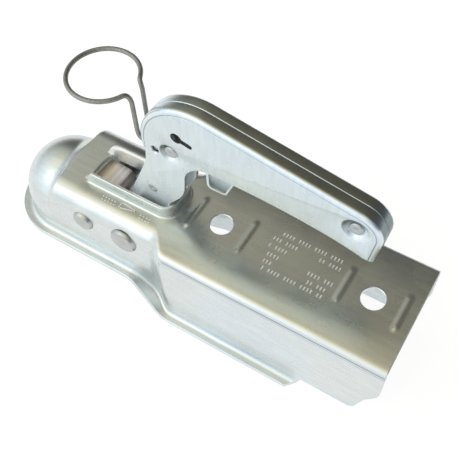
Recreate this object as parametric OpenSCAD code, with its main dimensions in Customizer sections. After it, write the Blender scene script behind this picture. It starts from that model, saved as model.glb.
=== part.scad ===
// Coupling head for a 50 mm tow ball: a pressed steel housing bolted over a square drawbar,
// a clamping jaw behind the ball, and a two-shell grip that turns a locking cam.
// The origin is the centre of the ball. +X runs back along the drawbar and +Z points up.

/* [Ball and socket] */
// Diameter of the tow ball
ball_d = 50; // [48:0.5:52]
// Gap between the ball and the pressed dome
socket_gap = 0.8; // [0.5:0.1:1.2]
// Gap between the ball and the closed jaw
jaw_gap = 0.4; // [0.2:0.1:0.8]

/* [Housing] */
// Thickness of the pressed sheet
sheet = 3; // [2.5:0.1:3.5]
// Rise of the flat top above the dome
top_rise = 3; // [2.5:0.1:5]
// Outer corner radius of the front section
front_r = 11; // [9:0.5:13]
// Width of the square drawbar
bar_w = 60; // [58:0.5:62]
// Gap on each side of the drawbar
bar_gap = 2; // [1:0.25:3]
// Outer corner radius of the rear channel
rear_r = 4.5; // [3.5:0.25:6]
// Where the housing starts to widen, from the ball's centre
widen_x = 77; // [75:0.5:79]
// Length over which it widens
widen_l = 15; // [12:0.5:16]
// Rear edge of the housing, from the ball's centre
rear_x = 221.7; // [216:0.5:230]
// Height of the front lip's underside, below the ball's centre
lip_drop = 17; // [16:0.25:19]
// Height of the rear flange's underside, below the ball's centre
flange_drop = 33; // [30:0.5:36]
// Width of the lip around the nose
lip_w = 5.5; // [4:0.25:7]
// Width of the rear flange
flange_w = 5.4; // [4:0.2:7]
// Rear end of the flange, from the ball's centre
flange_end = 171.5; // [165:0.5:180]

/* [Bolt holes] */
// Diameter of the two bolt holes
bolt_d = 13; // [10:0.5:15]
// Distance of the front hole from the ball's centre
bolt_x = 108.5; // [104:0.5:112]
// Distance between the holes
bolt_pitch = 90; // [84:0.5:94]
// Distance of the stiffening beads from each hole
bead_off = 16; // [13:0.5:18]
// Width of a bead
bead_w = 5; // [3:0.5:6]
// Length of a bead
bead_l = 24; // [16:1:30]
// Height of a bead
bead_h = 0.5; // [0.3:0.1:0.8]

/* [Slot] */
// Front edge of the slot, ahead of the jaw's pin
slot_front = 5.3; // [4:0.1:6]
// Rear edge of the slot, behind the grip's pin
slot_back = 20.7; // [20.2:0.1:22]
// Width of the slot
slot_w = 20.6; // [20.4:0.2:22]
// Corner radius of the slot's rear end
slot_r = 6; // [4:0.5:8]
// Height of the turned-up rim above the top
rim_h = 8.2; // [6:0.2:9]
// Thickness of the rim
rim_t = 2.6; // [2:0.1:3]

/* [Jaw] */
// Width of the jaw
jaw_w = 20; // [18:0.5:20]
// Thickness of the jaw's strip
jaw_t = 5; // [4:0.25:5]
// Lower end of the jaw, as an angle below the ball's centre
jaw_low = 38; // [34:1:40]
// Diameter of the jaw's pin
jaw_pin_d = 10; // [9:0.5:10]
// Wall of the jaw's eye around its pin
jaw_eye_t = 5; // [4:0.25:5.5]
// Direction of the jaw's pin from the ball's centre, as an angle above the drawbar's line
jaw_pin_high = 26.1; // [25:0.1:27]
// Head diameter of the jaw's pin
jaw_head_d = 13.5; // [12:0.5:14]

/* [Grip pivot] */
// Diameter of the grip's pin
grip_pin_d = 12; // [10:0.5:13]
// Distance of the grip's pin behind the jaw's pin
pin_pitch = 28.8; // [28:0.2:30]
// Height of the grip's pin above the jaw's pin
pin_rise = 1.2; // [0.5:0.1:1.5]
// Head diameter of the grip's pin
grip_head_d = 17; // [15:0.5:18]
// Height of a pin's head
head_h = 2; // [1.5:0.1:2.5]
// Outer diameter of the bush in the cam
bush_d = 19; // [17:0.5:20]
// Outer diameter of the spacer tubes
spacer_d = 15; // [14.5:0.5:15]
// Radius of the grip's lobe around its pin
lobe_r = 15.6; // [14:0.2:15.8]
// Radius of the cam's nose
nose_r = 4; // [3:0.25:5]
// Gap between the closed cam and the jaw
nose_gap = 0.3; // [0.2:0.05:0.5]

/* [Grip] */
// Width of the grip
grip_w = 13.6; // [13:0.1:14]
// Sheet thickness of the grip's two shells
shell_t = 2; // [1.5:0.1:2.2]
// Bend radius along the grip's edges
shell_r = 3.6; // [3:0.1:4]
// Height of the grip above its pin
grip_h = 100.8; // [98:0.2:104]
// Rear end of the grip, behind its pin
grip_l = 136.5; // [130:0.5:145]
// Depth of the grip's head, from its top down to the throat
head_deep = 35.5; // [35:0.1:37]
// Radius of the grip's front top curve
crown_r = 32.8; // [31:0.2:34]
// Radius of the grip's rear top curve
heel_r = 14; // [12:0.5:15]
// Diameter of the keyhole
keyhole_d = 6.4; // [5:0.2:7]
// Diameter of the front dished rivet seat
front_dish_d = 12; // [11:0.5:13]
// Diameter of the rear dished rivet seat
rear_dish_d = 14; // [12:0.5:15]
// Depth of the rivet seats
dish_depth = 2; // [1.5:0.1:2.2]
// Shank diameter of the grip's rivets
rivet_d = 6; // [5:0.25:6.5]
// Head diameter of the grip's rivets
rivet_head_d = 7.4; // [7:0.2:8]

/* [Trigger] */
// Width of the trigger's finger tab
tab_w = 8.8; // [8:0.1:9]
// Sheet thickness of the finger tab
tab_t = 1.6; // [1.2:0.1:2]
// Length of the finger tab, from its front to its rear edge
tab_l = 13.5; // [13:0.5:16]
// Drop of the finger tab below the throat's top
tab_drop = 15.4; // [14:0.2:18]
// Outer diameter of the tube that the trigger turns on
tube_d = 8.8; // [8:0.2:9.4]

/* [Plug ring] */
// Wire diameter of the plug ring
ring_wire = 2.4; // [2:0.1:2.6]
// Radius of the plug ring at the middle of its wire
ring_r = 18; // [16:0.5:20]
// Depth of the plug ring below the grip's top
ring_drop = 5.7; // [2:0.1:9]

/* [Springs] */
// Wire diameter of the grip's springs
spring_wire = 2; // [1.5:0.1:2.2]
// Middle radius of the grip's spring coils
coil_r = 8.8; // [8.7:0.1:9]
// Wire diameter of the trigger's spring
small_wire = 0.9; // [0.7:0.1:1]
// Middle radius of the trigger's spring
small_r = 3.2; // [2.8:0.1:3.6]

/* [Hidden] */
$fn = 96;
// Facet count for the children of a hull, and the sides of a wire
hull_fn = 32;
wire_fn = 8;
// Thickness of a slice that only starts or ends a hull
slice = 0.01;
// Running clearance of a pin, radial and endwise
run = 0.05;
side_gap = 0.3;
// Overshoot of a cut beyond the face that it opens
over = 1;

zinc = [0.77, 0.78, 0.75];
zinc_dull = [0.66, 0.67, 0.64];
steel = [0.60, 0.58, 0.56];
wire_steel = [0.50, 0.50, 0.49];
bronze = [0.70, 0.58, 0.35];

ball_r = ball_d / 2;
dome_r = ball_r + socket_gap + sheet;
top_z = dome_r + top_rise;
front_hw = dome_r;
rear_hw = bar_w / 2 + bar_gap + sheet;
wall_y = front_hw - sheet;
widen_end = widen_x + widen_l;
// Where the shoulders leave the dome, and where they reach their full size
neck_x = 1;
shoulder_x = 11;
// Centre of the lip's round nose, ahead of the ball's centre, and a point safely beyond it
lip_nose_x = -2.3;
lip_hw = front_hw + lip_w;
lip_start = lip_nose_x - lip_hw - 1;
flange_hw = rear_hw + flange_w;
// Length of the slanted end of the flange
flange_taper = 5;
// Start of the lip's run down to the flange, ahead of the place where the walls widen, its end,
// and how far the strip's inner side is shifted on the slope
drop_x = widen_x - 13;
drop_end = widen_end - 3;
drop_shift = 0.7;
// Where the wall steps up behind the flange, and the rounded rear lower corner, measured from
// the rear edge and the flange's underside
tail_rise = 8.5;
tail_x = flange_end + 7.5;
rear_corner = [[-13.7, 8.5], [-10.7, 11.5], [-8.7, 19], [-6.2, 27], [-3.2, 32], [-0.7, 37], [0, 42]];
plate_under = top_z - sheet;
rim_z = top_z + rim_h;
slot_hw = slot_w / 2;
rim_hw = slot_hw + rim_t;
// How far the slot's front end bulges forward, and how far the rim starts ahead of the slot
slot_bow = 2;
rim_front = 0.2;

jaw_in = ball_r + jaw_gap;
jaw_out = jaw_in + jaw_t;
jaw_eye_r = jaw_pin_d / 2 + jaw_eye_t;
// Gap between the jaw's eye and the circle of its inner face, and the upper end of its tail
eye_gap = 0.25;
tail_high = 18;
// Crest of the jaw under the slot, from its front to its rear, measured from the jaw's pin
jaw_crest = [[-8.5, 8.8], [-7.5, 10.5], [-5.5, 11.1], [0, 10.8],
    [6, 10.2], [8.6, 9.7], [10.2, 6.8], [10.9, 2.8]];
jaw_pin_at = (jaw_in + eye_gap + jaw_eye_r) * [cos(jaw_pin_high), sin(jaw_pin_high)];
jaw_spacer_d = spacer_d - 2;
// Where the cam's nose bears on the jaw, as an angle below the ball's centre
nose_low = 9;
grip_pin_at = jaw_pin_at + [pin_pitch, pin_rise];
slot_x0 = jaw_pin_at[0] - slot_front;
slot_x1 = grip_pin_at[0] + slot_back;
// Chamfer, edge height, dimple radius and dimple depth of a pin's head
head_chamfer = 1.2;
head_edge = 0.7;
dimple_r = 3;
dimple_depth = 0.8;

// All that follows of the grip, the trigger and the ring is measured from the grip's pin, in XZ
shell_hw = grip_w / 2;
shell_in = shell_hw - shell_t;
// Centres of the curves that bound the grip, and the front edge of its head
head_x = 6;
crown = [head_x + crown_r, grip_h - crown_r];
palm_z = grip_h - head_deep;
heel_top = grip_h - 15.2;
heel = [grip_l - heel_r, heel_top - heel_r];
heel_low = [grip_l - 7.3, palm_z - 22.2];
crown_low = [head_x + 4, palm_z - 22.2];
low_r = 4;
// Lower end of the grip's front flange
flange_low = palm_z + 1.8;
// Round throat, and the grip's underside from the heel forward to it
throat_x = 47.2;
throat_r = 16;
throat = [throat_x, palm_z - throat_r];
palm = [[grip_l - 7.1, palm_z - 9.4], [grip_l - 25.3, palm_z - 2.7],
    [74.2, palm_z + 0.6], [throat_x, palm_z]];
// The neck's two edges, with heights as shares of the throat's top
neck_back = [for (p = [[30.2, 0.6294], [28.7, 0.4916], [21.2, 0.3997], [17.7, 0.3231]]) [p[0], p[1] * palm_z]];
neck_foot = [16.2, 13.1];
neck_front = [for (p = [[-9.8, 0.2159], [-5.8, 0.3277], [-2.2, 0.4472], [1, 0.5574], [3.5, 0.6462],
    [6.1, 0.7473], [8, 0.8377], [8.7, 0.9204]]) [p[0], p[1] * palm_z]];
head_foot = [7.2, flange_low];
front_rivet_at = [23.8, palm_z + 1.3];
rear_rivet_at = heel + [0.9, 2.1];
neck_rivet_at = [9.2, 30.1];
neck_boss_r = 6;
keyhole_at = crown + [-9.6, 13.1];
keyhole_end = keyhole_at + [8.8, -2.2];
keyhole_slot = 2.4;
dish_floor = shell_hw - dish_depth;
dish_rim = 0.3;
tube_hw = dish_floor - shell_t;
spring_hole_at = [-8.3, -7.4];

// Eye of the trigger, its catch arm from the top down with heights as shares of the throat's top,
// the seat under its spring, its lever and the tab
trigger_eye_r = 7.4;
catch_arm = [for (p = [[17.2, 0.9816], [29.2, 0.951], [23.7, 0.6907], [21.7, 0.4456], [18.7, 0.4227],
    [17.7, 0.5069], [18.7, 0.7213]]) [p[0], p[1] * palm_z]];
spring_x = throat_x;
seat_z = palm_z + 4.8;
seat_l = 5;
lever_top = [25.2, palm_z + 8.3];
lever_end = [for (p = [[57.2, 2.3], [57.2, -2.2], [37.2, -1.7], [29.2, -4.6], [25.2, -6]])
    [p[0], palm_z + p[1]]];
tab_x = 43.2;
tab_z = palm_z - tab_drop;
tab_top = palm_z + 1.8;
tab_corner = 3;
web_z = palm_z - 1.7;
web_t = 3;

// The ring's hinge hole, its legs in front of the head, and half the angle open at the legs
ring_hole_at = [14.9, palm_z - 0.6];
ring_z = grip_h - ring_drop;
ring_leg_y = 3.5;
ring_leg_x = 3.5;
ring_x = -15.7;
ring_open = 24;
ring_bend = 6;
// Clearance around the ring's legs where they leave the head
leg_room = 0.4;

// The grip's springs: from beside the shell to beside the flat of the housing's top, with legs
// that end ahead of the place where the walls widen
coil_start = shell_hw + 1.5;
coil_end = front_hw - front_r + spring_wire / 2 + side_gap;
coil_turns = 3.4;
coil_leg = widen_x - grip_pin_at[0] - 1;
// Turns and sides of the trigger's spring
small_turns = 7;
small_sides = 12;

function unit(v) = v / norm(v);
function arc(c, r, a0, a1, n) = [for (i = [0:n]) let (a = a0 + (a1 - a0) * i / n) c + r * [cos(a), sin(a)]];
function lerp(a, b, t) = a + (b - a) * t;
function bezier(p, t) =
    p[0] * pow(1 - t, 3) + p[1] * 3 * t * pow(1 - t, 2) + p[2] * 3 * t * t * (1 - t) + p[3] * pow(t, 3);
function curve(p, n) = [for (i = [1:n]) bezier(p, i / n)];

// Puts an outline drawn in XZ on its place, with the given span along Y
module across(y0, y1) {
    translate([0, y1, 0]) rotate([90, 0, 0]) linear_extrude(y1 - y0) children();
}

// A cylinder along Y through a point of the XZ plane
module along_y(at, r, y0, y1) {
    translate([at[0], y0, at[1]]) rotate([-90, 0, 0]) cylinder(r = r, h = y1 - y0);
}

// A tube along Y
module tube_y(at, r_out, r_in, y0, y1) {
    difference() {
        along_y(at, r_out, y0, y1);
        along_y(at, r_in, y0 - over, y1 + over);
    }
}

// A solid of revolution about Y, from an outline of [radius, y] points
module turned_y(at, points) {
    translate([at[0], 0, at[1]]) rotate([-90, 0, 0]) rotate_extrude() polygon(points);
}

// A round wire swept along a list of points
module wire(points, r, sides) {
    n = len(points);
    tangents = [for (i = [0:n - 1]) unit(points[min(i + 1, n - 1)] - points[max(i - 1, 0)])];
    start = abs(tangents[0][2]) < 0.9 ? [0, 0, 1] : [1, 0, 0];
    first = unit(start - (start * tangents[0]) * tangents[0]);
    sides_dir = frames(tangents, 0, first);
    rings = [for (i = [0:n - 1], k = [0:sides - 1])
        points[i] + r * (cos(360 * k / sides) * sides_dir[i]
            + sin(360 * k / sides) * cross(tangents[i], sides_dir[i]))];
    walls = [for (i = [0:n - 2], k = [0:sides - 1])
        [i * sides + k, (i + 1) * sides + k, (i + 1) * sides + (k + 1) % sides, i * sides + (k + 1) % sides]];
    polyhedron(rings, concat([[for (k = [0:sides - 1]) k]], walls, [[for (k = [1:sides]) n * sides - k]]));
}
function frames(t, i, v) =
    concat([v], i + 1 < len(t) ? frames(t, i + 1, unit(v - (v * t[i + 1]) * t[i + 1])) : []);

// Cross-section of the housing, as a slice of the given length; inset 0 is the outside, the
// sheet's thickness the inside. The slice reaches down past the lowest edge.
module section(hw, r, inset, x0, x1) {
    top = top_z - inset;
    w = hw - inset;
    corner = r - inset;
    translate([x0, 0, 0]) rotate([90, 0, 90]) linear_extrude(x1 - x0) polygon(concat(
        [[w, -flange_drop - over - inset]],
        arc([w - corner, top - corner], corner, 0, 90, 8),
        arc([corner - w, top - corner], corner, 90, 180, 8),
        [[-w, -flange_drop - over - inset]]));
}

// Cross-section of the dome where the shoulders of the front section grow out of it
module neck_slice(inset) {
    r = sqrt(pow(dome_r - inset, 2) - pow(neck_x, 2)) - 0.4;
    translate([neck_x, 0, 0]) rotate([90, 0, 90]) linear_extrude(slice) polygon(concat(
        [[r, -flange_drop - over - inset]], arc([0, 0], r, 0, 180, 24), [[-r, -flange_drop - over - inset]]));
}

// Everything inside the pressed sheet's outer or inner surface
module pressed_form(inset, end) {
    r = dome_r - inset;
    depth = flange_drop + over + inset;
    rotate_extrude() polygon(concat([[0, -depth], [r, -depth]], arc([0, 0], r, 0, 90, 15)));
    hull() {
        neck_slice(inset);
        section(front_hw, front_r, inset, shoulder_x, shoulder_x + slice);
    }
    section(front_hw, front_r, inset, shoulder_x, widen_x);
    hull() {
        section(front_hw, front_r, inset, widen_x - slice, widen_x);
        section(rear_hw, rear_r, inset, widen_end, widen_end + slice);
    }
    section(rear_hw, rear_r, inset, widen_end, end);
}

// Side outline that the walls are trimmed to
module wall_outline() {
    polygon(concat(
        [[lip_start, top_z + over], [lip_start, -lip_drop], [drop_x, -lip_drop], [drop_end, -flange_drop],
         [tail_x - flange_taper, -flange_drop], [tail_x, tail_rise - flange_drop]],
        [for (p = rear_corner) [rear_x, -flange_drop] + p],
        [[rear_x, top_z + over]]));
}

// Side view of the lip and flange: one strip of sheet that steps down
module lip_outline() {
    polygon([[lip_start, -lip_drop], [drop_x - drop_shift, -lip_drop], [drop_end - drop_shift, -flange_drop],
        [tail_x, -flange_drop], [tail_x, sheet - flange_drop], [drop_end + drop_shift, sheet - flange_drop],
        [drop_x + drop_shift, sheet - lip_drop], [lip_start, sheet - lip_drop]]);
}

// Plan view of the lip and flange
module lip_plan() {
    translate([lip_nose_x, 0]) circle(r = lip_hw);
    polygon([[lip_nose_x, -lip_hw], [drop_x, -lip_hw], [drop_end, -flange_hw], [flange_end, -flange_hw],
        [flange_end + flange_taper, -rear_hw], [flange_end + flange_taper, rear_hw],
        [flange_end, flange_hw], [drop_end, flange_hw],
        [drop_x, lip_hw], [lip_nose_x, lip_hw]]);
}

// Plan view of the slot, or of the rim's outside
module slot_plan(hw, x0, x1, r) {
    front = x0 + slot_bow;
    translate([x1 - r, hw - r]) circle(r = r);
    translate([x1 - r, r - hw]) circle(r = r);
    polygon([[front, -hw], [x1 - r, -hw], [x1 - r, hw], [front, hw], [x0, hw / 2], [x0, -hw / 2]]);
    translate([x1 - 2 * r, r - hw]) square([2 * r, 2 * (hw - r)]);
}

module rim() {
    front = slot_x0 - rim_front;
    intersection() {
        translate([0, 0, plate_under]) linear_extrude(rim_h + sheet) difference() {
            slot_plan(rim_hw, front, slot_x1 + rim_t, slot_r + rim_t);
            slot_plan(slot_hw, slot_x0, slot_x1, slot_r);
            translate([front - over, -slot_hw]) square([over + rim_front + slot_bow, slot_w]);
        }
        across(-rim_hw - over, rim_hw + over)
            polygon([[front, plate_under], [front + 1.2, rim_z - 2.5], [front + 2.5, rim_z - 0.7],
                [front + 4.5, rim_z], [slot_x1 + rim_t + over, rim_z], [slot_x1 + rim_t + over, plate_under]]);
    }
}

module bead(x) {
    translate([x, 0, top_z - over]) linear_extrude(bead_h + over) {
        square([bead_w, bead_l - bead_w], center = true);
        translate([0, (bead_l - bead_w) / 2]) circle(d = bead_w);
        translate([0, (bead_w - bead_l) / 2]) circle(d = bead_w);
    }
}

module housing() {
    color(zinc) difference() {
        union() {
            intersection() {
                difference() {
                    pressed_form(0, rear_x);
                    pressed_form(sheet, rear_x + over);
                }
                across(-rear_hw - over, rear_hw + over) wall_outline();
            }
            difference() {
                intersection() {
                    across(-flange_hw - over, flange_hw + over) lip_outline();
                    translate([0, 0, -flange_drop - over]) linear_extrude(flange_drop) lip_plan();
                }
                lip_core();
            }
            rim();
            for (x = [0, bolt_pitch], side = [-1, 1]) bead(bolt_x + x + side * bead_off);
        }
        translate([0, 0, plate_under - over]) linear_extrude(rim_h + sheet + 2 * over)
            slot_plan(slot_hw, slot_x0, slot_x1, slot_r);
        for (x = [0, bolt_pitch])
            translate([bolt_x + x, 0, plate_under - over]) cylinder(d = bolt_d, h = sheet + bead_h + 2 * over);
        along_y(jaw_pin_at, jaw_pin_d / 2, -front_hw - over, front_hw + over);
        along_y(grip_pin_at, grip_pin_d / 2, -front_hw - over, front_hw + over);
    }
}

// The space between the walls, which the lip's strip leaves open
module lip_core() {
    core = sheet / 2;
    translate([0, 0, -flange_drop - 2 * over]) linear_extrude(2 * flange_drop) {
        circle(r = dome_r - core);
        polygon([[0, core - front_hw], [widen_x, core - front_hw], [widen_end, core - rear_hw],
            [rear_x, core - rear_hw], [rear_x, rear_hw - core], [widen_end, rear_hw - core],
            [widen_x, front_hw - core], [0, front_hw - core]]);
    }
}

// Bent from thick strip: an eye around the pin, and a tail that hangs behind the ball
module jaw() {
    far = 2 * jaw_out;
    color(steel) difference() {
        union() {
            across(-jaw_w / 2, jaw_w / 2) difference() {
                union() {
                    translate(jaw_pin_at) circle(r = jaw_eye_r);
                    intersection() {
                        circle(r = jaw_out);
                        polygon([[0, 0], far * [cos(jaw_low), -sin(jaw_low)], [far, 0],
                            far * [cos(tail_high), sin(tail_high)]]);
                    }
                }
                circle(r = jaw_in);
            }
            across(-jaw_w / 2, jaw_w / 2) translate(jaw_pin_at) polygon(concat([[0, 0]], jaw_crest));
        }
        along_y(jaw_pin_at, jaw_pin_d / 2 + run, -jaw_w, jaw_w);
    }
}

// A pin riveted in both walls, with a low dished head on each side
module riveted_pin(at, d, head_d) {
    end = front_hw + head_h;
    r = head_d / 2;
    side = [[d / 2, front_hw], [r, front_hw], [r, front_hw + head_edge], [r - head_chamfer, end],
        [dimple_r + 1, end], [dimple_r, end - dimple_depth / 4], [0, end - dimple_depth]];
    color(zinc_dull) turned_y(at, concat([for (i = [len(side) - 1:-1:0]) [side[i][0], -side[i][1]]], side));
}
module jaw_pin() { riveted_pin(jaw_pin_at, jaw_pin_d, jaw_head_d); }
module grip_pin() { riveted_pin(grip_pin_at, grip_pin_d, grip_head_d); }

// Ends of the spacers, short of the rounded corner inside the wall
function corner_reach(z) =
    wall_y - front_r + sheet + sqrt(pow(front_r - sheet, 2) - pow(max(0, z - top_z + front_r), 2)) - side_gap;

// Tube on a pin, from the piece in the middle out to the wall on one side
module spacer(at, d, pin_d, start, side) {
    reach = corner_reach(at[1] + d / 2);
    color(zinc_dull) tube_y(at, d / 2, pin_d / 2, side > 0 ? start : -reach, side > 0 ? reach : -start);
}
module jaw_spacer(side) { spacer(jaw_pin_at, jaw_spacer_d, jaw_pin_d, jaw_w / 2 + side_gap, side); }
module jaw_spacer_near() { jaw_spacer(-1); }
module jaw_spacer_far() { jaw_spacer(1); }
module grip_spacer(side) { spacer(grip_pin_at, spacer_d, grip_pin_d, shell_hw + side_gap, side); }
module grip_spacer_near() { grip_spacer(-1); }
module grip_spacer_far() { grip_spacer(1); }

// Puts what is measured from the grip's pin in its place
module on_grip() {
    translate([grip_pin_at[0], 0, grip_pin_at[1]]) children();
}

// Torsion spring: one end hooks the grip's lobe, the other bears under the housing's top
module grip_spring(side) {
    a0 = 235 + 360 * floor(coil_turns);
    steps = 15 * floor(coil_turns) + 6;
    hook_r = norm(spring_hole_at);
    leg_z = plate_under - grip_pin_at[1] - spring_wire / 2 - 1.5 * side_gap;
    coil = [for (i = [0:steps])
        let (a = lerp(a0, 90, i / steps), r = max(coil_r, lerp(hook_r, coil_r, i / 3)))
        [r * cos(a), side * lerp(coil_start, coil_end, i / steps), r * sin(a)]];
    color(wire_steel) on_grip() wire(concat(
        [[spring_hole_at[0], side * (shell_in + 0.4), spring_hole_at[1]],
         [spring_hole_at[0], side * (shell_hw + 0.3), spring_hole_at[1]]],
        coil,
        [[coil_leg - 2 * spring_wire, side * coil_end, leg_z], [coil_leg, side * coil_end, leg_z]]),
        spring_wire / 2, wire_fn);
}
module grip_spring_near() { grip_spring(-1); }
module grip_spring_far() { grip_spring(1); }

// The cam turns with the grip; its nose holds the jaw against the ball
module locking_cam() {
    nose = (jaw_out + nose_gap + nose_r) * [cos(nose_low), -sin(nose_low)] - grip_pin_at;
    hook_r = spring_wire / 2 + side_gap;
    color(steel) on_grip() difference() {
        across(-shell_in, shell_in) {
            hull() {
                circle(r = bush_d / 2 + 2, $fn = hull_fn);
                translate(nose) circle(r = nose_r, $fn = hull_fn);
            }
            circle(r = lobe_r - 1);
            hull() {
                circle(r = lobe_r - 4, $fn = hull_fn);
                translate(neck_rivet_at) circle(r = neck_boss_r, $fn = hull_fn);
            }
        }
        along_y([0, 0], bush_d / 2, -shell_hw, shell_hw);
        along_y(neck_rivet_at, rivet_d / 2, -shell_hw, shell_hw);
        along_y(spring_hole_at, hook_r, shell_in - 1, shell_hw);
        along_y(spring_hole_at, hook_r, -shell_hw, 1 - shell_in);
    }
}

module cam_bush() {
    color(bronze) on_grip() tube_y([0, 0], bush_d / 2, grip_pin_d / 2 + run, -shell_in, shell_in);
}

// The grip's full outline before its underside is cut: four circles and their common tangents,
// counter-clockwise, each drawn in by the inset
grip_circles = [[heel_low, low_r, 3], [heel, heel_r, 12], [crown, crown_r, 28], [crown_low, low_r, 3]];
function tangent_angle(a, b) =
    let (d = b[0] - a[0]) atan2(d[1], d[0]) - acos((a[1] - b[1]) / norm(d));
function turn_to(a, b) = b < a - 0.001 ? turn_to(a, b + 360) : b;
function grip_outline(inset) = [for (i = [0:3])
    let (c = grip_circles[i], a0 = tangent_angle(grip_circles[(i + 3) % 4], c),
        a1 = turn_to(a0, tangent_angle(c, grip_circles[(i + 1) % 4])))
    each arc(c[0], c[1] - inset, a0, a1, c[2])];

// Height of the grip's roof on the inside
function roof_z(x) =
    let (a = tangent_angle([heel, heel_r], [crown, crown_r]), n = [cos(a), sin(a)])
    (n * heel + heel_r - shell_t - n[0] * x) / n[1];

// One half of the grip's form, from the middle out to the bent edge and the flat side
module grip_form(inset) {
    r = shell_r - inset;
    levels = concat([[-inset, inset]],
        [for (a = [0:15:90]) [shell_hw - shell_r + r * sin(a), inset + r * (1 - cos(a))]]);
    n = len(grip_outline(0));
    points = [for (l = levels) for (p = grip_outline(l[1])) [p[0], l[0], p[1]]];
    walls = [for (i = [0:len(levels) - 2], k = [0:n - 1])
        [i * n + k, i * n + (k + 1) % n, (i + 1) * n + (k + 1) % n, (i + 1) * n + k]];
    last = (len(levels) - 1) * n;
    polyhedron(points, concat([[for (k = [1:n]) n - k]], walls, [[for (k = [0:n - 1]) last + k]]));
}

// Side outline of one shell: open below the hand, a curved throat and the neck and lobe
module shell_outline() {
    top = grip_h + over;
    back = grip_l + over;
    polygon(concat(
        [head_foot, [0, flange_low], [0, top], [back, top], [back, palm[0][1]], palm[0]],
        curve(palm, 12), arc(throat, throat_r, 90, 180, 12), [neck_back[0]], curve(neck_back, 8),
        [neck_foot], arc([0, 0], lobe_r, 10, -210, 40), neck_front));
}

// Pressed seat for a rivet head: a dished ring of sheet, drawn as [radius, depth from the middle]
module dish(at, d) {
    outer = d / 2 + dish_rim;
    flat = d / 2 - dish_depth;
    turned_y(at, [[rivet_d / 2, tube_hw], [flat, tube_hw], [d / 2, shell_in], [outer, shell_in],
        [outer, shell_hw], [d / 2, shell_hw], [flat, dish_floor], [rivet_d / 2, dish_floor]]);
}

module shell_far_side() {
    low = -lobe_r - over;
    reach = throat[0] - throat_r + over;
    cut_x = reach + shell_t;
    neck_x1 = reach + throat_r / 2;
    neck_z1 = palm_z - shell_t;
    intersection() {
        union() {
            difference() {
                grip_form(0);
                grip_form(shell_t);
                across(-over, shell_in)
                    polygon([[low, low], [cut_x, low], [cut_x, flange_low], [low, flange_low]]);
            }
            across(shell_in, shell_hw)
                polygon([[low, low], [neck_x1, low], [neck_x1, neck_z1], [head_x - 1, neck_z1],
                    [low, crown_low[1]]]);
        }
        across(0, shell_hw) shell_outline();
    }
}

module grip_shell() {
    leg_w = ring_wire + 2 * leg_room;
    difference() {
        union() {
            difference() {
                shell_far_side();
                along_y(front_rivet_at, front_dish_d / 2, shell_in - over, shell_hw + over);
                along_y(rear_rivet_at, rear_dish_d / 2, shell_in - over, shell_hw + over);
            }
            dish(front_rivet_at, front_dish_d);
            dish(rear_rivet_at, rear_dish_d);
        }
        along_y(keyhole_at, keyhole_d / 2, 0, shell_hw + over);
        across(shell_in - over, shell_hw + over) keyhole_tail();
        along_y(neck_rivet_at, rivet_d / 2, 0, shell_hw + over);
        along_y(ring_hole_at, ring_wire / 2 + run, 0, shell_hw + over);
        along_y(spring_hole_at, spring_wire / 2 + side_gap, 0, shell_hw + over);
        along_y([0, 0], grip_pin_d / 2 + 2 * run, 0, shell_hw + over);
        translate([0, ring_leg_y - leg_w / 2, ring_hole_at[1] - ring_bend])
            cube([head_x + 5, leg_w, 1.6 * ring_bend]);
    }
}

module keyhole_tail() {
    along = keyhole_end - keyhole_at;
    translate(keyhole_at) rotate(atan2(along[1], along[0])) {
        translate([0, -keyhole_slot / 2]) square([norm(along), keyhole_slot]);
        translate([norm(along), 0]) circle(d = keyhole_slot);
    }
}

module grip_shell_near() { color(zinc) on_grip() mirror([0, 1, 0]) grip_shell(); }
module grip_shell_far() { color(zinc) on_grip() grip_shell(); }

// Rivet that draws both dished seats together
module shell_rivet(at) {
    end = shell_hw - 0.4;
    r = rivet_d / 2;
    head = rivet_head_d / 2;
    side = [[r, dish_floor], [head, dish_floor], [head, dish_floor + head_edge], [head - head_edge, end],
        [r / 2, end], [0, end - dimple_depth]];
    color(zinc_dull) on_grip()
        turned_y(at, concat([for (i = [len(side) - 1:-1:0]) [side[i][0], -side[i][1]]], side));
}
module front_rivet() { shell_rivet(front_rivet_at); }
module rear_rivet() { shell_rivet(rear_rivet_at); }

module neck_rivet() {
    end = shell_hw + 0.4;
    color(zinc_dull) on_grip() turned_y(neck_rivet_at, [[0, 0.5 - end], [1, -end], [rivet_d / 2, 0.5 - end],
        [rivet_d / 2, end - 0.5], [1, end], [0, end - 0.5]]);
}

module rivet_tube(at) { color(zinc_dull) on_grip() tube_y(at, tube_d / 2, rivet_d / 2, -tube_hw, tube_hw); }
module rear_rivet_tube() { rivet_tube(rear_rivet_at); }
module trigger_tube() { rivet_tube(front_rivet_at); }

// Pressed lever: an eye on the tube, a catch arm down the neck and a folded finger tab
module release_trigger() {
    arm_hw = tube_hw - side_gap;
    tab_hw = tab_w / 2;
    color(zinc_dull) on_grip() difference() {
        union() {
            across(-arm_hw, arm_hw) {
                translate(front_rivet_at) circle(r = trigger_eye_r);
                polygon(concat(
                    [lever_top, [spring_x - seat_l - 2, seat_z + 1]],
                    [[spring_x - seat_l, seat_z], [spring_x + seat_l, seat_z]],
                    lever_end));
                polygon(catch_arm);
            }
            difference() {
                across(-tab_hw, tab_hw) tab_outline(0, tab_top);
                across(tab_t - tab_hw, tab_hw - tab_t) tab_outline(tab_t, tab_top + over);
            }
            across(-tab_hw, tab_hw) translate([tab_x + tab_t, web_z]) square([tab_l - 2 * tab_t, web_t]);
        }
        along_y(front_rivet_at, tube_d / 2 + run, -shell_hw, shell_hw);
    }
}

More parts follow.
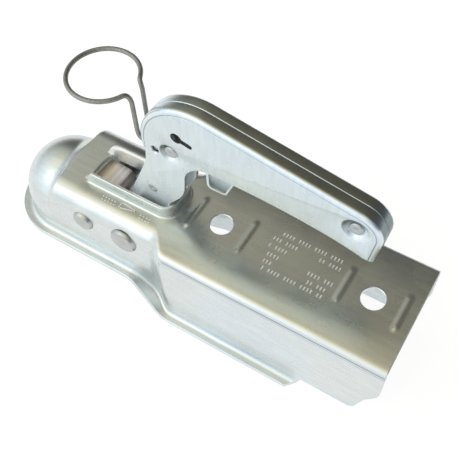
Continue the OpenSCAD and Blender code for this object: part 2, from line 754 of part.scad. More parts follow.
// Side view of the finger tab, drawn in by d
module tab_outline(d, top) {
    r = tab_corner - d / 2;
    polygon(concat(
        [[tab_x + tab_l - d, top], [tab_x + d, top]],
        arc([tab_x + tab_corner, tab_z + tab_corner], r, 180, 270, 6),
        arc([tab_x + tab_l - 1.5 * tab_corner, tab_z + tab_corner], r, 270, 330, 6)));
}

// Compression spring between the trigger and the grip's roof
module trigger_spring() {
    reach = small_r + small_wire / 2;
    z0 = seat_z + small_wire / 2 + side_gap;
    z1 = roof_z(spring_x + reach) - small_wire / 2 - side_gap;
    count = small_turns * small_sides;
    coil = [for (i = [0:count]) let (a = 360 * i / small_sides)
        [spring_x + small_r * cos(a), small_r * sin(a), lerp(z0, z1, i / count)]];
    color(wire_steel) on_grip() wire(coil, small_wire / 2, 6);
}

// Sprung wire ring that holds the plug of the trailer's cable; its ends sit in the two shells
module plug_ring() {
    x = ring_hole_at[0];
    z = ring_hole_at[1];
    leg = ring_leg_x;
    y = ring_leg_y;
    half = concat(
        [[x, shell_hw - 0.2, z], [x, shell_in, z]],
        curve([[x, shell_in, z], [x, y, z], [x, y, z], [x - 3, y, z]], 6),
        curve([[x - ring_bend, y + 0.3, z], [leg + 0.5, y + 0.6, z],
            [leg, y + 0.8, z + 2], [leg, y + 0.9, z + 8]], 6),
        curve([[leg, y + 1, ring_z - ring_bend], [leg, y + 1.3, ring_z - 1], [leg - 1, y + 2, ring_z],
            [ring_x + ring_r * cos(ring_open), ring_r * sin(ring_open), ring_z]], 6));
    hoop = [for (i = [1:29]) let (a = lerp(ring_open, 360 - ring_open, i / 30))
        [ring_x + ring_r * cos(a), ring_r * sin(a), ring_z]];
    count = len(half);
    other = [for (i = [1:count]) [half[count - i][0], -half[count - i][1], half[count - i][2]]];
    color(wire_steel) on_grip() wire(concat(half, hoop, other), ring_wire / 2, wire_fn);
}

housing();
jaw();
jaw_pin();
jaw_spacer_near();
jaw_spacer_far();
grip_pin();
grip_spacer_near();
grip_spacer_far();
grip_spring_near();
grip_spring_far();
locking_cam();
cam_bush();
grip_shell_near();
grip_shell_far();
front_rivet();
rear_rivet();
neck_rivet();
rear_rivet_tube();
trigger_tube();
release_trigger();
trigger_spring();
plug_ring();
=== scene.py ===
import math

import bmesh
import bpy
import numpy as np
from mathutils import Matrix, Vector


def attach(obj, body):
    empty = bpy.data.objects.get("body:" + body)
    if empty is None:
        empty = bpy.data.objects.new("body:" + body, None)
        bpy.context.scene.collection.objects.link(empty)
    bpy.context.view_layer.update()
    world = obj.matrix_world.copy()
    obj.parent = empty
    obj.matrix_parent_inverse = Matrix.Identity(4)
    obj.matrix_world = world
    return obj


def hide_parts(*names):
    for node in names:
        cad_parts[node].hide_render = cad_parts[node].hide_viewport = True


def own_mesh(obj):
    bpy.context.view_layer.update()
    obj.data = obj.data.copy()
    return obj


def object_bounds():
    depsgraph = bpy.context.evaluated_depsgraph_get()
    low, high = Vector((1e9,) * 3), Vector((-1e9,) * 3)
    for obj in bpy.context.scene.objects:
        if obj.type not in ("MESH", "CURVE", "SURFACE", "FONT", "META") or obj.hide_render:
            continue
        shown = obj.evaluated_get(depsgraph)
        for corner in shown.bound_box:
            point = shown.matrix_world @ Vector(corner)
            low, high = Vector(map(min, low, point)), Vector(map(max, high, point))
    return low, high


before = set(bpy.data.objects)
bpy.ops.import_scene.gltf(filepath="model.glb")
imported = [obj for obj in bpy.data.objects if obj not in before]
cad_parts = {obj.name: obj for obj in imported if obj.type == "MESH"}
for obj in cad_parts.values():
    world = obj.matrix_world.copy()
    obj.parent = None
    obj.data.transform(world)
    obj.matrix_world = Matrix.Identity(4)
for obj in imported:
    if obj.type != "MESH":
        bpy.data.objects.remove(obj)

cad_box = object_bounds()

# Sizes are in millimetres, in the frame of the part: origin at the ball's centre, +X back along
# the drawbar, +Z up. Meshes are scaled to metres when they are made.
MM = 0.001

# Housing: sheet, dome, top, and the half width and bend radius of its front and rear section
SHEET, DOME_R, TOP_Z = 3.0, 28.8, 31.8
FRONT_HW, FRONT_R = 28.8, 11.0
REAR_HW, REAR_R, REAR_X = 35.0, 4.5, 221.7
# Lip around the front and flange along the rear: lower face, half width, and where each ends
LIP_Z, LIP_HW, LIP_NOSE_X = -17.0, 34.3, -2.3
FLANGE_Z, FLANGE_HW, FLANGE_END = -33.0, 40.4, 171.5
# Where along X the dome becomes a box, the box widens, and the lip drops down to the flange
SHOULDER, WIDEN = (0.0, 11.5), (75.5, 93.0)
DROP, DROP_SOFT = (64.0, 89.0), 4.0
BOLTS_X, BOLT_R = (108.5, 198.5), 6.5
SLOT_X0, SLOT_X1, SLOT_HW, SLOT_R, SLOT_BOW = 26.7, 81.5, 10.3, 6.0, 2.0
RIM_T, RIM_H = 2.6, 8.2
# Front end of the rim and its rounded run up to full height, on the near and on the far side, and
# the soft foot around its start
RIM_NEAR, RIM_FAR = (26.9, 4.5), (24.6, 11.0)
RIM_LEAD, RIM_FOOT = 1.6, 0.16

# Pins as (x, z), and the grip's shells: half width, sheet and edge radius
JAW_PIN = (32.015, 15.684)
GRIP_PIN = (60.815, 16.884)
SHELL_HW, SHELL_T, SHELL_R = 6.8, 2.0, 2.4


def from_grip_pin(x, z):
    return (GRIP_PIN[0] + x, GRIP_PIN[1] + z)


# Finger tab of the trigger: front edge, length, lowest edge and half width, and its slanted tail
TAB_X, TAB_L, TAB_Z, TAB_HW = 104.0, 13.5, 66.8, 4.4
TAB_TAIL = [(113.0, 67.4), (114.4, 67.0), (115.5, 67.6), (120.3, 78.8), (121.2, 83.5),
            (113.0, 83.5)]

# Coil of the trigger: its axis, its ends between the trigger's seat and the grip's roof, and the
# share of its length that is left when it is squeezed
SPRING_X, SPRING_Z, SPRING_KEEP = 108.015, (87.29, 113.62), 0.83

FRONT_RIVET = from_grip_pin(23.8, 66.6)
REAR_RIVET = from_grip_pin(123.4, 73.7)
NECK_RIVET = from_grip_pin(9.2, 30.1)
KEYHOLE = from_grip_pin(29.2, 81.1)
KEYHOLE_END = from_grip_pin(36.6, 79.2)
RING_HOLE = from_grip_pin(14.9, 64.7)


# Meshes

def add(name, data):
    """A new object of the scene."""
    obj = bpy.data.objects.new(name, data)
    bpy.context.scene.collection.objects.link(obj)
    return obj


def new_object(name, verts, faces, smooth=True):
    """A mesh object from points in millimetres."""
    mesh = bpy.data.meshes.new(name)
    mesh.from_pydata((np.asarray(verts, float) * MM).tolist(), [], faces)
    mesh.validate()
    if smooth:
        mesh.shade_smooth()
    return add(name, mesh)


def solid(name, verts, faces, smooth=True):
    """A closed mesh object with all its faces turned outward."""
    obj = new_object(name, verts, faces, smooth)
    bm = bmesh.new()
    bm.from_mesh(obj.data)
    bmesh.ops.recalc_face_normals(bm, faces=bm.faces)
    bm.to_mesh(obj.data)
    bm.free()
    return obj


def loft(rings):
    """Points and faces of a closed form through rings of equally many points."""
    n = len(rings[0])
    faces = [[i * n + k, i * n + (k + 1) % n, (i + 1) * n + (k + 1) % n, (i + 1) * n + k]
             for i in range(len(rings) - 1) for k in range(n)]
    faces += [list(range(n))[::-1], list(range((len(rings) - 1) * n, len(rings) * n))]
    return [p for ring in rings for p in ring], faces


def bake_modifiers(obj):
    """Applies every modifier to the mesh."""
    depsgraph = bpy.context.evaluated_depsgraph_get()
    depsgraph.update()
    mesh = bpy.data.meshes.new_from_object(obj.evaluated_get(depsgraph))
    old = obj.data
    obj.modifiers.clear()
    obj.data = mesh
    bpy.data.meshes.remove(old)


def combine(obj, others, operation):
    """Joins the other solids to obj, or cuts them out of it, or keeps only what they share."""
    for other in others:
        mod = obj.modifiers.new("combine", "BOOLEAN")
        mod.solver = "MANIFOLD"
        mod.operation = operation
        mod.object = other
        bake_modifiers(obj)
        mesh = other.data
        bpy.data.objects.remove(other)
        bpy.data.meshes.remove(mesh)
    return obj


def crisp(obj, angle=35.0):
    """Smooth shading, broken at edges sharper than the angle."""
    obj.data.shade_smooth()
    obj.data.set_sharp_from_angle(angle=math.radians(angle))
    return obj


def bevel(obj, width, angle=40.0):
    """Rounds the edges that are sharper than the angle."""
    mod = obj.modifiers.new("bevel", "BEVEL")
    mod.width = width * MM
    mod.segments = 2
    mod.limit_method = "ANGLE"
    mod.angle_limit = math.radians(angle)
    bake_modifiers(obj)
    return obj


def points_of(obj):
    """Points of the mesh in millimetres, as rows of all x, all y and all z."""
    out = np.empty(len(obj.data.vertices) * 3)
    obj.data.vertices.foreach_get("co", out)
    return (out.reshape(-1, 3) / MM).T


def within(values, low, high):
    return (values > low) & (values < high)


def paint(obj, name, values):
    """Stores one value per point, which the materials read by its name."""
    attribute = obj.data.attributes.new(name, "FLOAT", "POINT")
    attribute.data.foreach_set("value", np.clip(np.asarray(values, float), 0.0, 1.0))


def softened(node, name, width):
    """The solid of a node as a new piece, with its edges rounded."""
    obj = add(name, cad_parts[node].data.copy())
    bm = bmesh.new()
    bm.from_mesh(obj.data)
    bmesh.ops.remove_doubles(bm, verts=bm.verts, dist=1e-6)
    bmesh.ops.dissolve_limit(bm, angle_limit=math.radians(0.5), verts=bm.verts, edges=bm.edges)
    bm.to_mesh(obj.data)
    bm.free()
    return crisp(bevel(obj, width))


def prism(name, outline, low, high, axis):
    """A closed prism from an outline: [x, z] points for axis "y", [x, y] points for axis "z"."""
    pts = np.asarray(outline, float)
    after = np.roll(pts, -1, axis=0)
    if np.sum(pts[:, 0] * after[:, 1] - after[:, 0] * pts[:, 1]) < 0:
        pts = pts[::-1]
    if axis == "y":
        verts, faces = loft([[(x, y, z) for x, z in pts] for y in (low, high)])
        faces = [f[::-1] for f in faces]
    else:
        verts, faces = loft([[(x, y, z) for x, y in pts] for z in (low, high)])
    return new_object(name, verts, faces, smooth=False)


def turned(name, at, profile, steps=64):
    """A solid of revolution about a line along Y through at, from [radius, y] points."""
    verts, rings = [], []
    for r, y in profile:
        if r == 0:
            rings.append([len(verts)])
            verts.append((at[0], y, at[1]))
            continue
        rings.append(list(range(len(verts), len(verts) + steps)))
        for k in range(steps):
            a = 2 * math.pi * k / steps
            verts.append((at[0] + r * math.cos(a), y, at[1] + r * math.sin(a)))
    faces = []
    closed = len(rings[0]) > 1
    pairs = list(zip(rings, rings[1:])) + ([(rings[-1], rings[0])] if closed else [])
    for a, b in pairs:
        for k in range(steps):
            j = (k + 1) % steps
            if len(a) == 1:
                faces.append([a[0], b[k], b[j]])
            elif len(b) == 1:
                faces.append([a[j], a[k], b[0]])
            else:
                faces.append([a[j], a[k], b[k], b[j]])
    return solid(name, verts, faces)


WIRE_END_TAPER = 0.35


def along_wire(name, points, radius, sides):
    """A round wire along a smooth list of points, with slightly tapered ends."""
    pts = np.asarray(points, float)
    n = len(pts)
    tangents = np.gradient(pts, axis=0)
    tangents /= np.linalg.norm(tangents, axis=1)[:, None]
    side = np.cross(tangents[0], (0, 0, 1) if abs(tangents[0][2]) < 0.9 else (1, 0, 0))
    side /= np.linalg.norm(side)
    angles = 2 * np.pi * np.arange(sides) / sides
    rings = []
    for i in range(n):
        side = side - np.dot(side, tangents[i]) * tangents[i]
        side /= np.linalg.norm(side)
        up = np.cross(tangents[i], side)
        r = radius * (1 - WIRE_END_TAPER) if i in (0, n - 1) else radius
        rings.append([pts[i] + r * (np.cos(a) * side + np.sin(a) * up) for a in angles])
    return crisp(solid(name, *loft(rings)), 50)


# Lines and blends

def between(a, b, share):
    return a + (b - a) * share


def arc(centre, r, a0, a1, n):
    """Points on an arc from angle a0 to angle a1, in degrees."""
    angles = [math.radians(a0 + (a1 - a0) * i / n) for i in range(n + 1)]
    return [(centre[0] + r * math.cos(a), centre[1] + r * math.sin(a)) for a in angles]


def bezier(p, n):
    """Points on the cubic curve with these four control points."""
    p = np.asarray(p, float)
    t = np.linspace(0, 1, n + 1)[:, None]
    u = 1 - t
    curve = p[0] * u ** 3 + p[1] * 3 * t * u ** 2 + p[2] * 3 * t * t * u + p[3] * t ** 3
    return [tuple(q) for q in curve]


def smooth_step(x, a, b):
    """0 up to a and 1 from b on, without a kink between them."""
    t = min(1.0, max(0.0, (x - a) / (b - a)))
    return t * t * t * (t * (6 * t - 15) + 10)


def soft_ramp(x, a, b, r):
    """0 before a, 1 after b, straight between, with both bends rounded over r."""
    t = (x - a) / (b - a)
    s = r / (b - a)

    def bend(u):
        if u <= -s:
            return 0.0
        if u >= s:
            return u
        return (u + s) ** 2 / (4 * s)
    return bend(t) - bend(t - 1)


# Housing: half sections from the middle of the top to the lip's edge, as [distance, height]

# Steps over the top, its bend, the wall, the fillet and the lip, and around the dome
TOP_N, CORNER_N, WALL_N, FILLET_N, LIP_N, DOME_N = 26, 10, 9, 7, 4, 72
# Steps along X near the beads, where the form bends, and elsewhere, and the bending stretches
BEAD_STEP, BEND_STEP, PLAIN_STEP = 0.65, 0.9, 2.5
BENDING = ((-1, 24), (60, 96))
FILLET_R, EDGE_CHAMFER = 3.0, 0.4
# Pressed beads across the top, on both sides of each bolt hole
BEADS_X = [bolt + off for bolt in BOLTS_X for off in (-16.0, 16.0)]
BEAD_HALF_L, BEAD_HALF_W, BEAD_H = 12.0, 2.6, 0.6
# The top falls away gently beyond this distance from the middle
CROWN_FROM, CROWN_RUN, CROWN_FALL = 12.0, 18.5, 0.95
# Line that the die left along the bend's foot, as [depth, distance below the bend]
DIE_LINE = ((0.0, 0.1), (0.2, 0.3), (0.2, 0.6), (0.0, 0.85))


def below_corner(profile, hw, wall_top, low, edge, die_mark=0.0):
    """A half section's top with the wall, the fillet and the lip added."""
    lip_top = low + SHEET
    root, foot = hw + FILLET_R, lip_top + FILLET_R
    start = wall_top - DIE_LINE[-1][1]
    reach = edge - hw - FILLET_R
    die_line = [(hw - deep * die_mark, wall_top - down) for deep, down in DIE_LINE]
    wall = [(hw, start + (foot - start) * k / WALL_N) for k in range(1, WALL_N + 1)]
    fillet = arc((root, foot), FILLET_R, 180, 270, FILLET_N)[1:]
    lip = [(root + reach * k / LIP_N, lip_top) for k in range(1, LIP_N + 1)]
    return profile + die_line + wall + fillet + lip


def box_top(hw, r, share):
    """Half of the top and its rounded edge, with a share of the crown's fall; the top meets the
    bend at the slope of its own fall."""
    def fall(d):
        return share * CROWN_FALL * (max(0.0, d - CROWN_FROM) / CROWN_RUN) ** 2
    flat = hw - r
    slope = math.atan(2 * share * CROWN_FALL * max(0.0, flat - CROWN_FROM) / CROWN_RUN ** 2)
    end = flat + r * math.sin(slope)
    profile = [(end * k / TOP_N, TOP_Z - fall(end * k / TOP_N)) for k in range(TOP_N + 1)]
    centre_z = TOP_Z - fall(end) - r * math.cos(slope)
    for k in range(1, CORNER_N + 1):
        a = (math.pi / 2 - slope) * (1 - k / CORNER_N)
        profile.append((flat + r * math.cos(a), centre_z + r * math.sin(a)))
    return profile


def round_top():
    """Half of the dome's arch, with as many points as box_top gives."""
    n = TOP_N + CORNER_N
    turns = [math.pi / 2 * k / n for k in range(n + 1)]
    return [(DOME_R * math.sin(a), DOME_R * math.cos(a)) for a in turns]


def bead_height(x, y):
    height = 0.0
    for bead in BEADS_X:
        dy = max(0.0, abs(y) - BEAD_HALF_L + BEAD_HALF_W)
        d = math.hypot(abs(x - bead), dy) / BEAD_HALF_W
        if d < 1:
            height = max(height, BEAD_H * (1 - smooth_step(d, 0.0, 1.0)))
    return height


def section(x):
    """Half section of the housing's outside at x behind the ball's centre."""
    widen = smooth_step(x, *WIDEN)
    hw, r = between(FRONT_HW, REAR_HW, widen), between(FRONT_R, REAR_R, widen)
    drop = soft_ramp(x, *DROP, DROP_SOFT)
    low, edge = between(LIP_Z, FLANGE_Z, drop), between(LIP_HW, FLANGE_HW, drop)
    top = box_top(hw, r, widen)
    shoulder = smooth_step(x, *SHOULDER)
    if shoulder < 1:
        top = [(between(a[0], b[0], shoulder), between(a[1], b[1], shoulder))
               for a, b in zip(round_top(), top)]
    top = [(d, z + bead_height(x, d)) for d, z in top]
    return below_corner(top, hw, top[-1][1], low, edge, widen)


def dome_section(angle):
    """Half section of the dome in an upright plane through the ball's centre."""
    aside = LIP_NOSE_X * math.sin(angle)
    reach = LIP_NOSE_X * math.cos(angle) + math.sqrt(LIP_HW ** 2 - aside ** 2)
    top = round_top()
    return below_corner(top, DOME_R, top[-1][1], LIP_Z, reach)


def stations():
    """Places of the sections along the body, closer together where the form changes."""
    xs = [0.0]
    while xs[-1] < REAR_X:
        x = xs[-1]
        near_bead = any(abs(x - bead) < 4 for bead in BEADS_X)
        bending = any(a < x < b for a, b in BENDING)
        xs.append(x + (BEAD_STEP if near_bead else BEND_STEP if bending else PLAIN_STEP))
    xs[-1] = REAR_X
    return xs


def housing_shell():
    """The pressed sheet as one closed solid: outer surface, inner surface and the cut edge."""
    xs = stations()
    half = len(section(0.0)) - 1
    width = 2 * half + 1
    verts = []
    for x in xs:
        s = section(x)
        verts += [(x, -d, z) for d, z in reversed(s[1:])] + [(x, 0.0, s[0][1])]
        verts += [(x, d, z) for d, z in s[1:]]
    dome = []
    for k in range(1, DOME_N):
        a = math.pi / 2 + math.pi * k / DOME_N
        s = dome_section(a)
        dome.append(list(range(len(verts), len(verts) + half)))
        verts += [(d * math.cos(a), d * math.sin(a), z) for d, z in s[1:]]
    first = list(range(half + 1, width))
    last = list(range(half - 1, -1, -1))
    fans = [first] + dome + [last]
    faces = []
    for i in range(len(xs) - 1):
        for j in range(width - 1):
            a = i * width + j
            faces.append([a, a + width, a + width + 1, a + 1])
    for a, b in zip(fans, fans[1:]):
        faces.append([half, a[0], b[0]])
        faces += [[a[j], a[j + 1], b[j + 1], b[j]] for j in range(half - 1)]
    rear = [(len(xs) - 1) * width + j for j in range(width)]
    loop = [i * width for i in range(len(xs) - 1)] + rear
    loop += [i * width + width - 1 for i in range(len(xs) - 2, -1, -1)] + [f[-1] for f in dome]
    return thicken("housing_form", verts, faces, loop)


def thicken(name, verts, faces, loop):
    """Closes an open surface into a sheet: its back lies one sheet's thickness behind it, and the
    edge that runs along the loop is chamfered on both sides."""
    verts = np.asarray(verts, float)
    normals = np.zeros_like(verts)
    for f in faces:
        p = verts[f]
        nrm = np.cross(p[1] - p[0], p[-1] - p[0]) + np.cross(p[-1] - p[-2], p[1] - p[-2])
        for i in f:
            normals[i] += nrm
    normals /= np.linalg.norm(normals, axis=1)[:, None]
    if normals[np.argmax(verts[:, 2])][2] < 0:
        normals = -normals
        faces = [f[::-1] for f in faces]
    back = verts - SHEET * normals
    n = len(verts)
    ring = np.asarray(loop)
    along = verts[np.roll(ring, -1)] - verts[np.roll(ring, 1)]
    along /= np.linalg.norm(along, axis=1)[:, None]
    outward = np.cross(along, normals[ring])
    centre_dir = verts[ring] - verts[ring].mean(0)
    if np.mean(np.sum(outward * centre_dir, axis=1)) < 0:
        outward = -outward
    share = EDGE_CHAMFER / SHEET
    edge_a = verts[ring] + (back[ring] - verts[ring]) * share
    edge_b = verts[ring] + (back[ring] - verts[ring]) * (1 - share)
    front = verts.copy()
    front[ring] -= EDGE_CHAMFER * outward
    back[ring] -= EDGE_CHAMFER * outward
    m = len(ring)
    points = np.vstack([front, back, edge_a, edge_b])
    out = [list(f) for f in faces] + [[n + i for i in reversed(f)] for f in faces]
    for k in range(m):
        j = (k + 1) % m
        rows = [ring[k], 2 * n + k, 2 * n + m + k, n + ring[k]]
        nexts = [ring[j], 2 * n + j, 2 * n + m + j, n + ring[j]]
        for a, b, c, d in zip(rows, rows[1:], nexts[1:], nexts):
            out.append([int(a), int(b), int(c), int(d)])
    return solid(name, points, out)


def rim_rise(x, side):
    """Share of the rim's full height at x, from its rounded front end back."""
    start, run = side
    t = x - start
    foot = RIM_FOOT * smooth_step(t, -RIM_LEAD, RIM_LEAD)
    if t < 0:
        return foot
    return max(math.sqrt(max(0.0, 1 - ((run - min(t, run)) / run) ** 2)), foot)


def rim_solid():
    """The turned-up rim: a section swept back along one side, round the rear end and forward."""
    r, steps = SLOT_R, 24

    def straight(start, run):
        length = run + RIM_LEAD + 3
        ease = [start - RIM_LEAD + length * (k / steps) ** 1.5 for k in range(steps + 1)]
        return ease + list(np.linspace(ease[-1], SLOT_X1 - r, steps))[1:]
    path = [(x, -SLOT_HW) for x in straight(*RIM_NEAR)]
    path += arc((SLOT_X1 - r, r - SLOT_HW), r, -90, 0, 10)[1:]
    path += [(SLOT_X1, y) for y in np.linspace(r - SLOT_HW, SLOT_HW - r, 8)][1:]
    path += arc((SLOT_X1 - r, SLOT_HW - r), r, 0, 90, 10)[1:]
    path += [(x, SLOT_HW) for x in reversed(straight(*RIM_FAR))][1:]
    path = np.asarray(path)
    tangent = np.gradient(path, axis=0)
    tangent /= np.linalg.norm(tangent, axis=1)[:, None]
    outward = np.stack([tangent[:, 1], -tangent[:, 0]], 1)
    # Radii of the outer edge, the inner edge and the root
    edge, inner, root = 0.7, 1.9, 1.6
    quarter = [math.radians(a) for a in range(0, 91, 15)]
    top = RIM_H - inner
    shape = [(0.0, -SHEET + 0.05), (0.0, top)]
    shape += [(inner - inner * math.cos(a), top + inner * math.sin(a)) for a in quarter[1:]]
    shape += [(RIM_T - edge + edge * math.sin(a), RIM_H - edge + edge * math.cos(a))
              for a in quarter[::2]]
    shape += [(RIM_T + root - root * math.cos(a), root - root * math.sin(a)) for a in quarter]
    shape += [(RIM_T + root, -1.0), (RIM_T, -SHEET + 0.4)]
    # The root lies a little below the top, so that the two solids join
    base = TOP_Z - 0.02
    rings = []
    for p, o in zip(path, outward):
        rise = rim_rise(p[0], RIM_FAR if p[1] > 0 else RIM_NEAR)
        rings.append([(p[0] + o[0] * off, p[1] + o[1] * off, base + (z * rise if z > 0 else z))
                      for off, z in shape])
    return solid("rim_form", *loft(rings))


def slot_cutter():
    """Cutter for the slot: bowed in front, round corners behind, and flared at the top of its
    front edge."""
    grow = 0.3
    hw, x1, r = SLOT_HW + grow, SLOT_X1 + grow, SLOT_R + grow
    turns = [math.radians(a) for a in range(-90, 91, 6)]
    outline = [(SLOT_X0 + SLOT_BOW * (1 - math.cos(a)), hw * math.sin(a)) for a in turns]
    outline += arc((x1 - r, hw - r), r, 90, 0, 8) + arc((x1 - r, r - hw), r, 0, -90, 8)
    # Height from the top, and how far the front edge is flared there
    levels = ((-SHEET - 2, 0.0), (-1.6, 0.0), (-0.9, 0.12), (-0.4, 0.45), (-0.1, 1.0), (0.0, 1.5),
              (3.0, 1.5))
    rings = []
    for z, flare in levels:
        ring = []
        for x, y in outline:
            share = max(0.0, 1 - abs(y / SLOT_HW) ** 4) if x < SLOT_X0 + SLOT_R else 0.0
            ring.append((x - flare * share, y, TOP_Z + z))
        rings.append(ring)
    return solid("slot_form", *loft(rings), smooth=False)


def bolt_cutter(x):
    """Cutter for a bolt's hole through the top, with a small chamfer at the upper edge."""
    chamfer, over, steps = 0.35, 0.6, 64
    levels = ((BOLT_R, TOP_Z - SHEET - 1), (BOLT_R, TOP_Z - chamfer),
              (BOLT_R + chamfer + over, TOP_Z + over))
    turns = [2 * math.pi * k / steps for k in range(steps)]
    rings = [[(x + r * math.cos(a), r * math.sin(a), z) for a in turns] for r, z in levels]
    return solid("hole_form", *loft(rings), smooth=False)


# Stamped marks on the top: rows as [y, first x, count], a triangle's corners, and groups of dots
# as [first x, y, count]
MARK_W, MARK_DEEP, MARK_HALF_L, MARK_PITCH = 0.8, 0.28, 0.75, 1.9
MARK_ROWS = ((11.4, 141.0, 19), (6.6, 137.5, 9), (6.6, 165.0, 7), (1.6, 137.5, 7),
             (-3.6, 137.5, 5), (-3.6, 163.5, 8), (-8.4, 139.5, 4), (-8.4, 165.5, 6),
             (-12.6, 141.0, 19))
MARK_TRIANGLE = [(52.7, -19.2), (52.7, -15.2), (63.6, -16.6)]
CORNER_GAP = 0.08
MARK_DOTS = ((40.6, -17.0, 5), (41.2, -19.0, 5), (66.4, -17.4, 4), (66.9, -19.3, 4))
DOT_PITCH, DOT_L = 2.0, 0.5


def stroke(x0, y0, x1, y1):
    """One short groove in the top, as the points and faces of its cutter."""
    along = np.array((x1 - x0, y1 - y0)) / math.hypot(x1 - x0, y1 - y0)
    side = np.array((-along[1], along[0]))
    verts = []
    for z, half in ((TOP_Z - MARK_DEEP, MARK_W * 0.3), (TOP_Z + 0.3, MARK_W * 0.75)):
        for u, v in ((-1, -1), (1, -1), (1, 1), (-1, 1)):
            end = np.array((x1, y1)) if u > 0 else np.array((x0, y0))
            p = end + u * half * along + v * half * side
            verts.append((p[0], p[1], z))
    faces = [[3, 2, 1, 0], [4, 5, 6, 7], [0, 1, 5, 4], [1, 2, 6, 5], [2, 3, 7, 6], [3, 0, 4, 7]]
    return verts, faces


def marks_cutter():
    """Plain stamped strokes: rows of dashes behind the slot, a triangle and dots beside the rim."""
    strokes = []
    for row, (y, x0, count) in enumerate(MARK_ROWS):
        for k in range(count):
            x = x0 + MARK_PITCH * k
            if (k + row) % 5 != 4:
                strokes.append((x, y - MARK_HALF_L, x, y + MARK_HALF_L))
    for (ax, ay), (bx, by) in zip(MARK_TRIANGLE, MARK_TRIANGLE[1:] + MARK_TRIANGLE[:1]):
        strokes.append((between(ax, bx, CORNER_GAP), between(ay, by, CORNER_GAP),
                        between(bx, ax, CORNER_GAP), between(by, ay, CORNER_GAP)))
    for x0, y, count in MARK_DOTS:
        strokes += [(x0 + DOT_PITCH * k, y, x0 + DOT_PITCH * k + DOT_L, y) for k in range(count)]
    verts, faces = [], []
    for line in strokes:
        v, f = stroke(*line)
        faces += [[len(verts) + i for i in face] for face in f]
        verts += v
    return solid("marks_form", verts, faces, smooth=False)


# Line of the walls' rear end below the top, from the rear and from the flange's lower face
TAIL = ((-13.7, 8.5), (-10.7, 11.5), (-8.7, 19), (-6.2, 27), (-3.2, 32), (-0.7, 37), (1.0, 44))


def end_cutters():
    """Cutters for the walls' rear end, and for the rear corners of the flange."""
    end = FLANGE_END + 5
    below = [(REAR_X + x, FLANGE_Z + z) for x, z in TAIL]
    below += [(REAR_X + 5, -50), (end, -50), (end, FLANGE_Z), (end + 2.5, FLANGE_Z + 8.5)]
    cutters = [prism("tail_cut", below, -60, 60, "y")]
    for side in (-1, 1):
        corner = [(FLANGE_END, side * (FLANGE_HW + 1)), (FLANGE_END, side * FLANGE_HW),
                  (end, side * REAR_HW), (end + 7, side * (REAR_HW + 0.01)),
                  (end + 7, side * (FLANGE_HW + 1))]
        cutters.append(prism("corner_cut", corner, FLANGE_Z - 2, FLANGE_Z + 8, "z"))
    return cutters


# Marked stretches of the top along X: beside the rim and behind the slot
MARKS_BESIDE, MARKS_BEHIND = (39, 75), (134, 182)
# Strip of painted shade beside the rim: its strength, middle and half width, and at both ends its
# place along X and the length of its fade
STRIP, STRIP_Y, STRIP_HW, STRIP_FRONT, STRIP_REAR = 0.36, 17.5, 4.5, (22, 8), (80, 10)


def paint_housing(body):
    """Painted shade in die lines, beside the rim and inside; lighter strokes; rim faces painted
    light.
    """
    x, y, z = points_of(body)
    off = abs(y)
    # Painted shade along the die line's groove below the top's bend
    paint(body, "crease_shade", (abs(off - (REAR_HW - DIE_LINE[1][0])) < 0.03) & (z > 20))
    in_marks = (abs(z - TOP_Z + MARK_DEEP) < 0.08) & (off < 22.5)
    beside = within(x, *MARKS_BESIDE) & (y < -14.6)
    behind = within(x, *MARKS_BEHIND) & (off < 16)
    # Painted light on the rim's inner faces and tops, in the stamped marks' light tone
    in_rim = within(off, SLOT_HW - 0.1, SLOT_HW + 1.6) & within(x, 24, SLOT_X1 - 3)
    in_rim &= z > TOP_Z - 2.9
    paint(body, "marks_and_rim_light", np.maximum(in_marks & (beside | behind), 0.85 * in_rim))
    # Painted shade on a strip of the top beside the rim
    along = np.clip((x - STRIP_FRONT[0]) / STRIP_FRONT[1], 0, 1)
    along *= np.clip((STRIP_REAR[0] - x) / STRIP_REAR[1], 0, 1)
    across = np.clip(1.6 * (1 - np.abs(off - STRIP_Y) / STRIP_HW), 0, 1)
    strip = STRIP * along * across * (z > TOP_Z - 2) * ~(in_marks & beside)
    # Painted shade inside the dome and the front of the box, where shade falls
    from_centre = np.linalg.norm([np.minimum(x, 0), y, np.maximum(z, 0)], axis=0)
    in_dome = from_centre < DOME_R - 1.5
    inside = np.where(x < 12, in_dome, (off < FRONT_HW - 2.6) & (z < 20)) & (x < 70)
    paint(body, "shade", np.maximum(strip, inside))


def build_housing():
    body = housing_shell()
    cutters = end_cutters() + [slot_cutter()] + [bolt_cutter(x) for x in BOLTS_X]
    combine(body, cutters, "DIFFERENCE")
    combine(body, [rim_solid()], "UNION")
    combine(body, [marks_cutter()], "DIFFERENCE")
    crisp(body, 32)
    paint_housing(body)
    return body


# Grip: the two shells

CROWN, CROWN_R = from_grip_pin(38.8, 68.0), 32.8
HEEL, HEEL_R = from_grip_pin(122.5, 71.6), 14.0
HEEL_LOW, CROWN_LOW, LOW_R = from_grip_pin(129.2, 43.1), from_grip_pin(10.0, 43.1), 4.0
PALM = [from_grip_pin(*p) for p in ((129.4, 55.9), (111.2, 62.6), (74.2, 65.9), (47.2, 65.3))]
THROAT, THROAT_R = from_grip_pin(47.2, 49.3), 16.0
NECK_BACK = [from_grip_pin(*p) for p in ((30.2, 41.1), (28.7, 32.1), (21.2, 26.1), (17.7, 21.1))]
NECK_FOOT = from_grip_pin(16.2, 13.1)
NECK_FRONT = [from_grip_pin(*p) for p in (
    (-9.8, 14.1), (-5.8, 21.4), (-2.2, 29.2), (1, 36.4), (3.5, 42.2), (6.1, 48.8), (8, 54.7),
    (8.7, 60.1))]
# Lowest edge of the head's flange, and the round lobe at the foot of the neck
FLANGE_LOW, LOBE_R = 67.1, 15.6
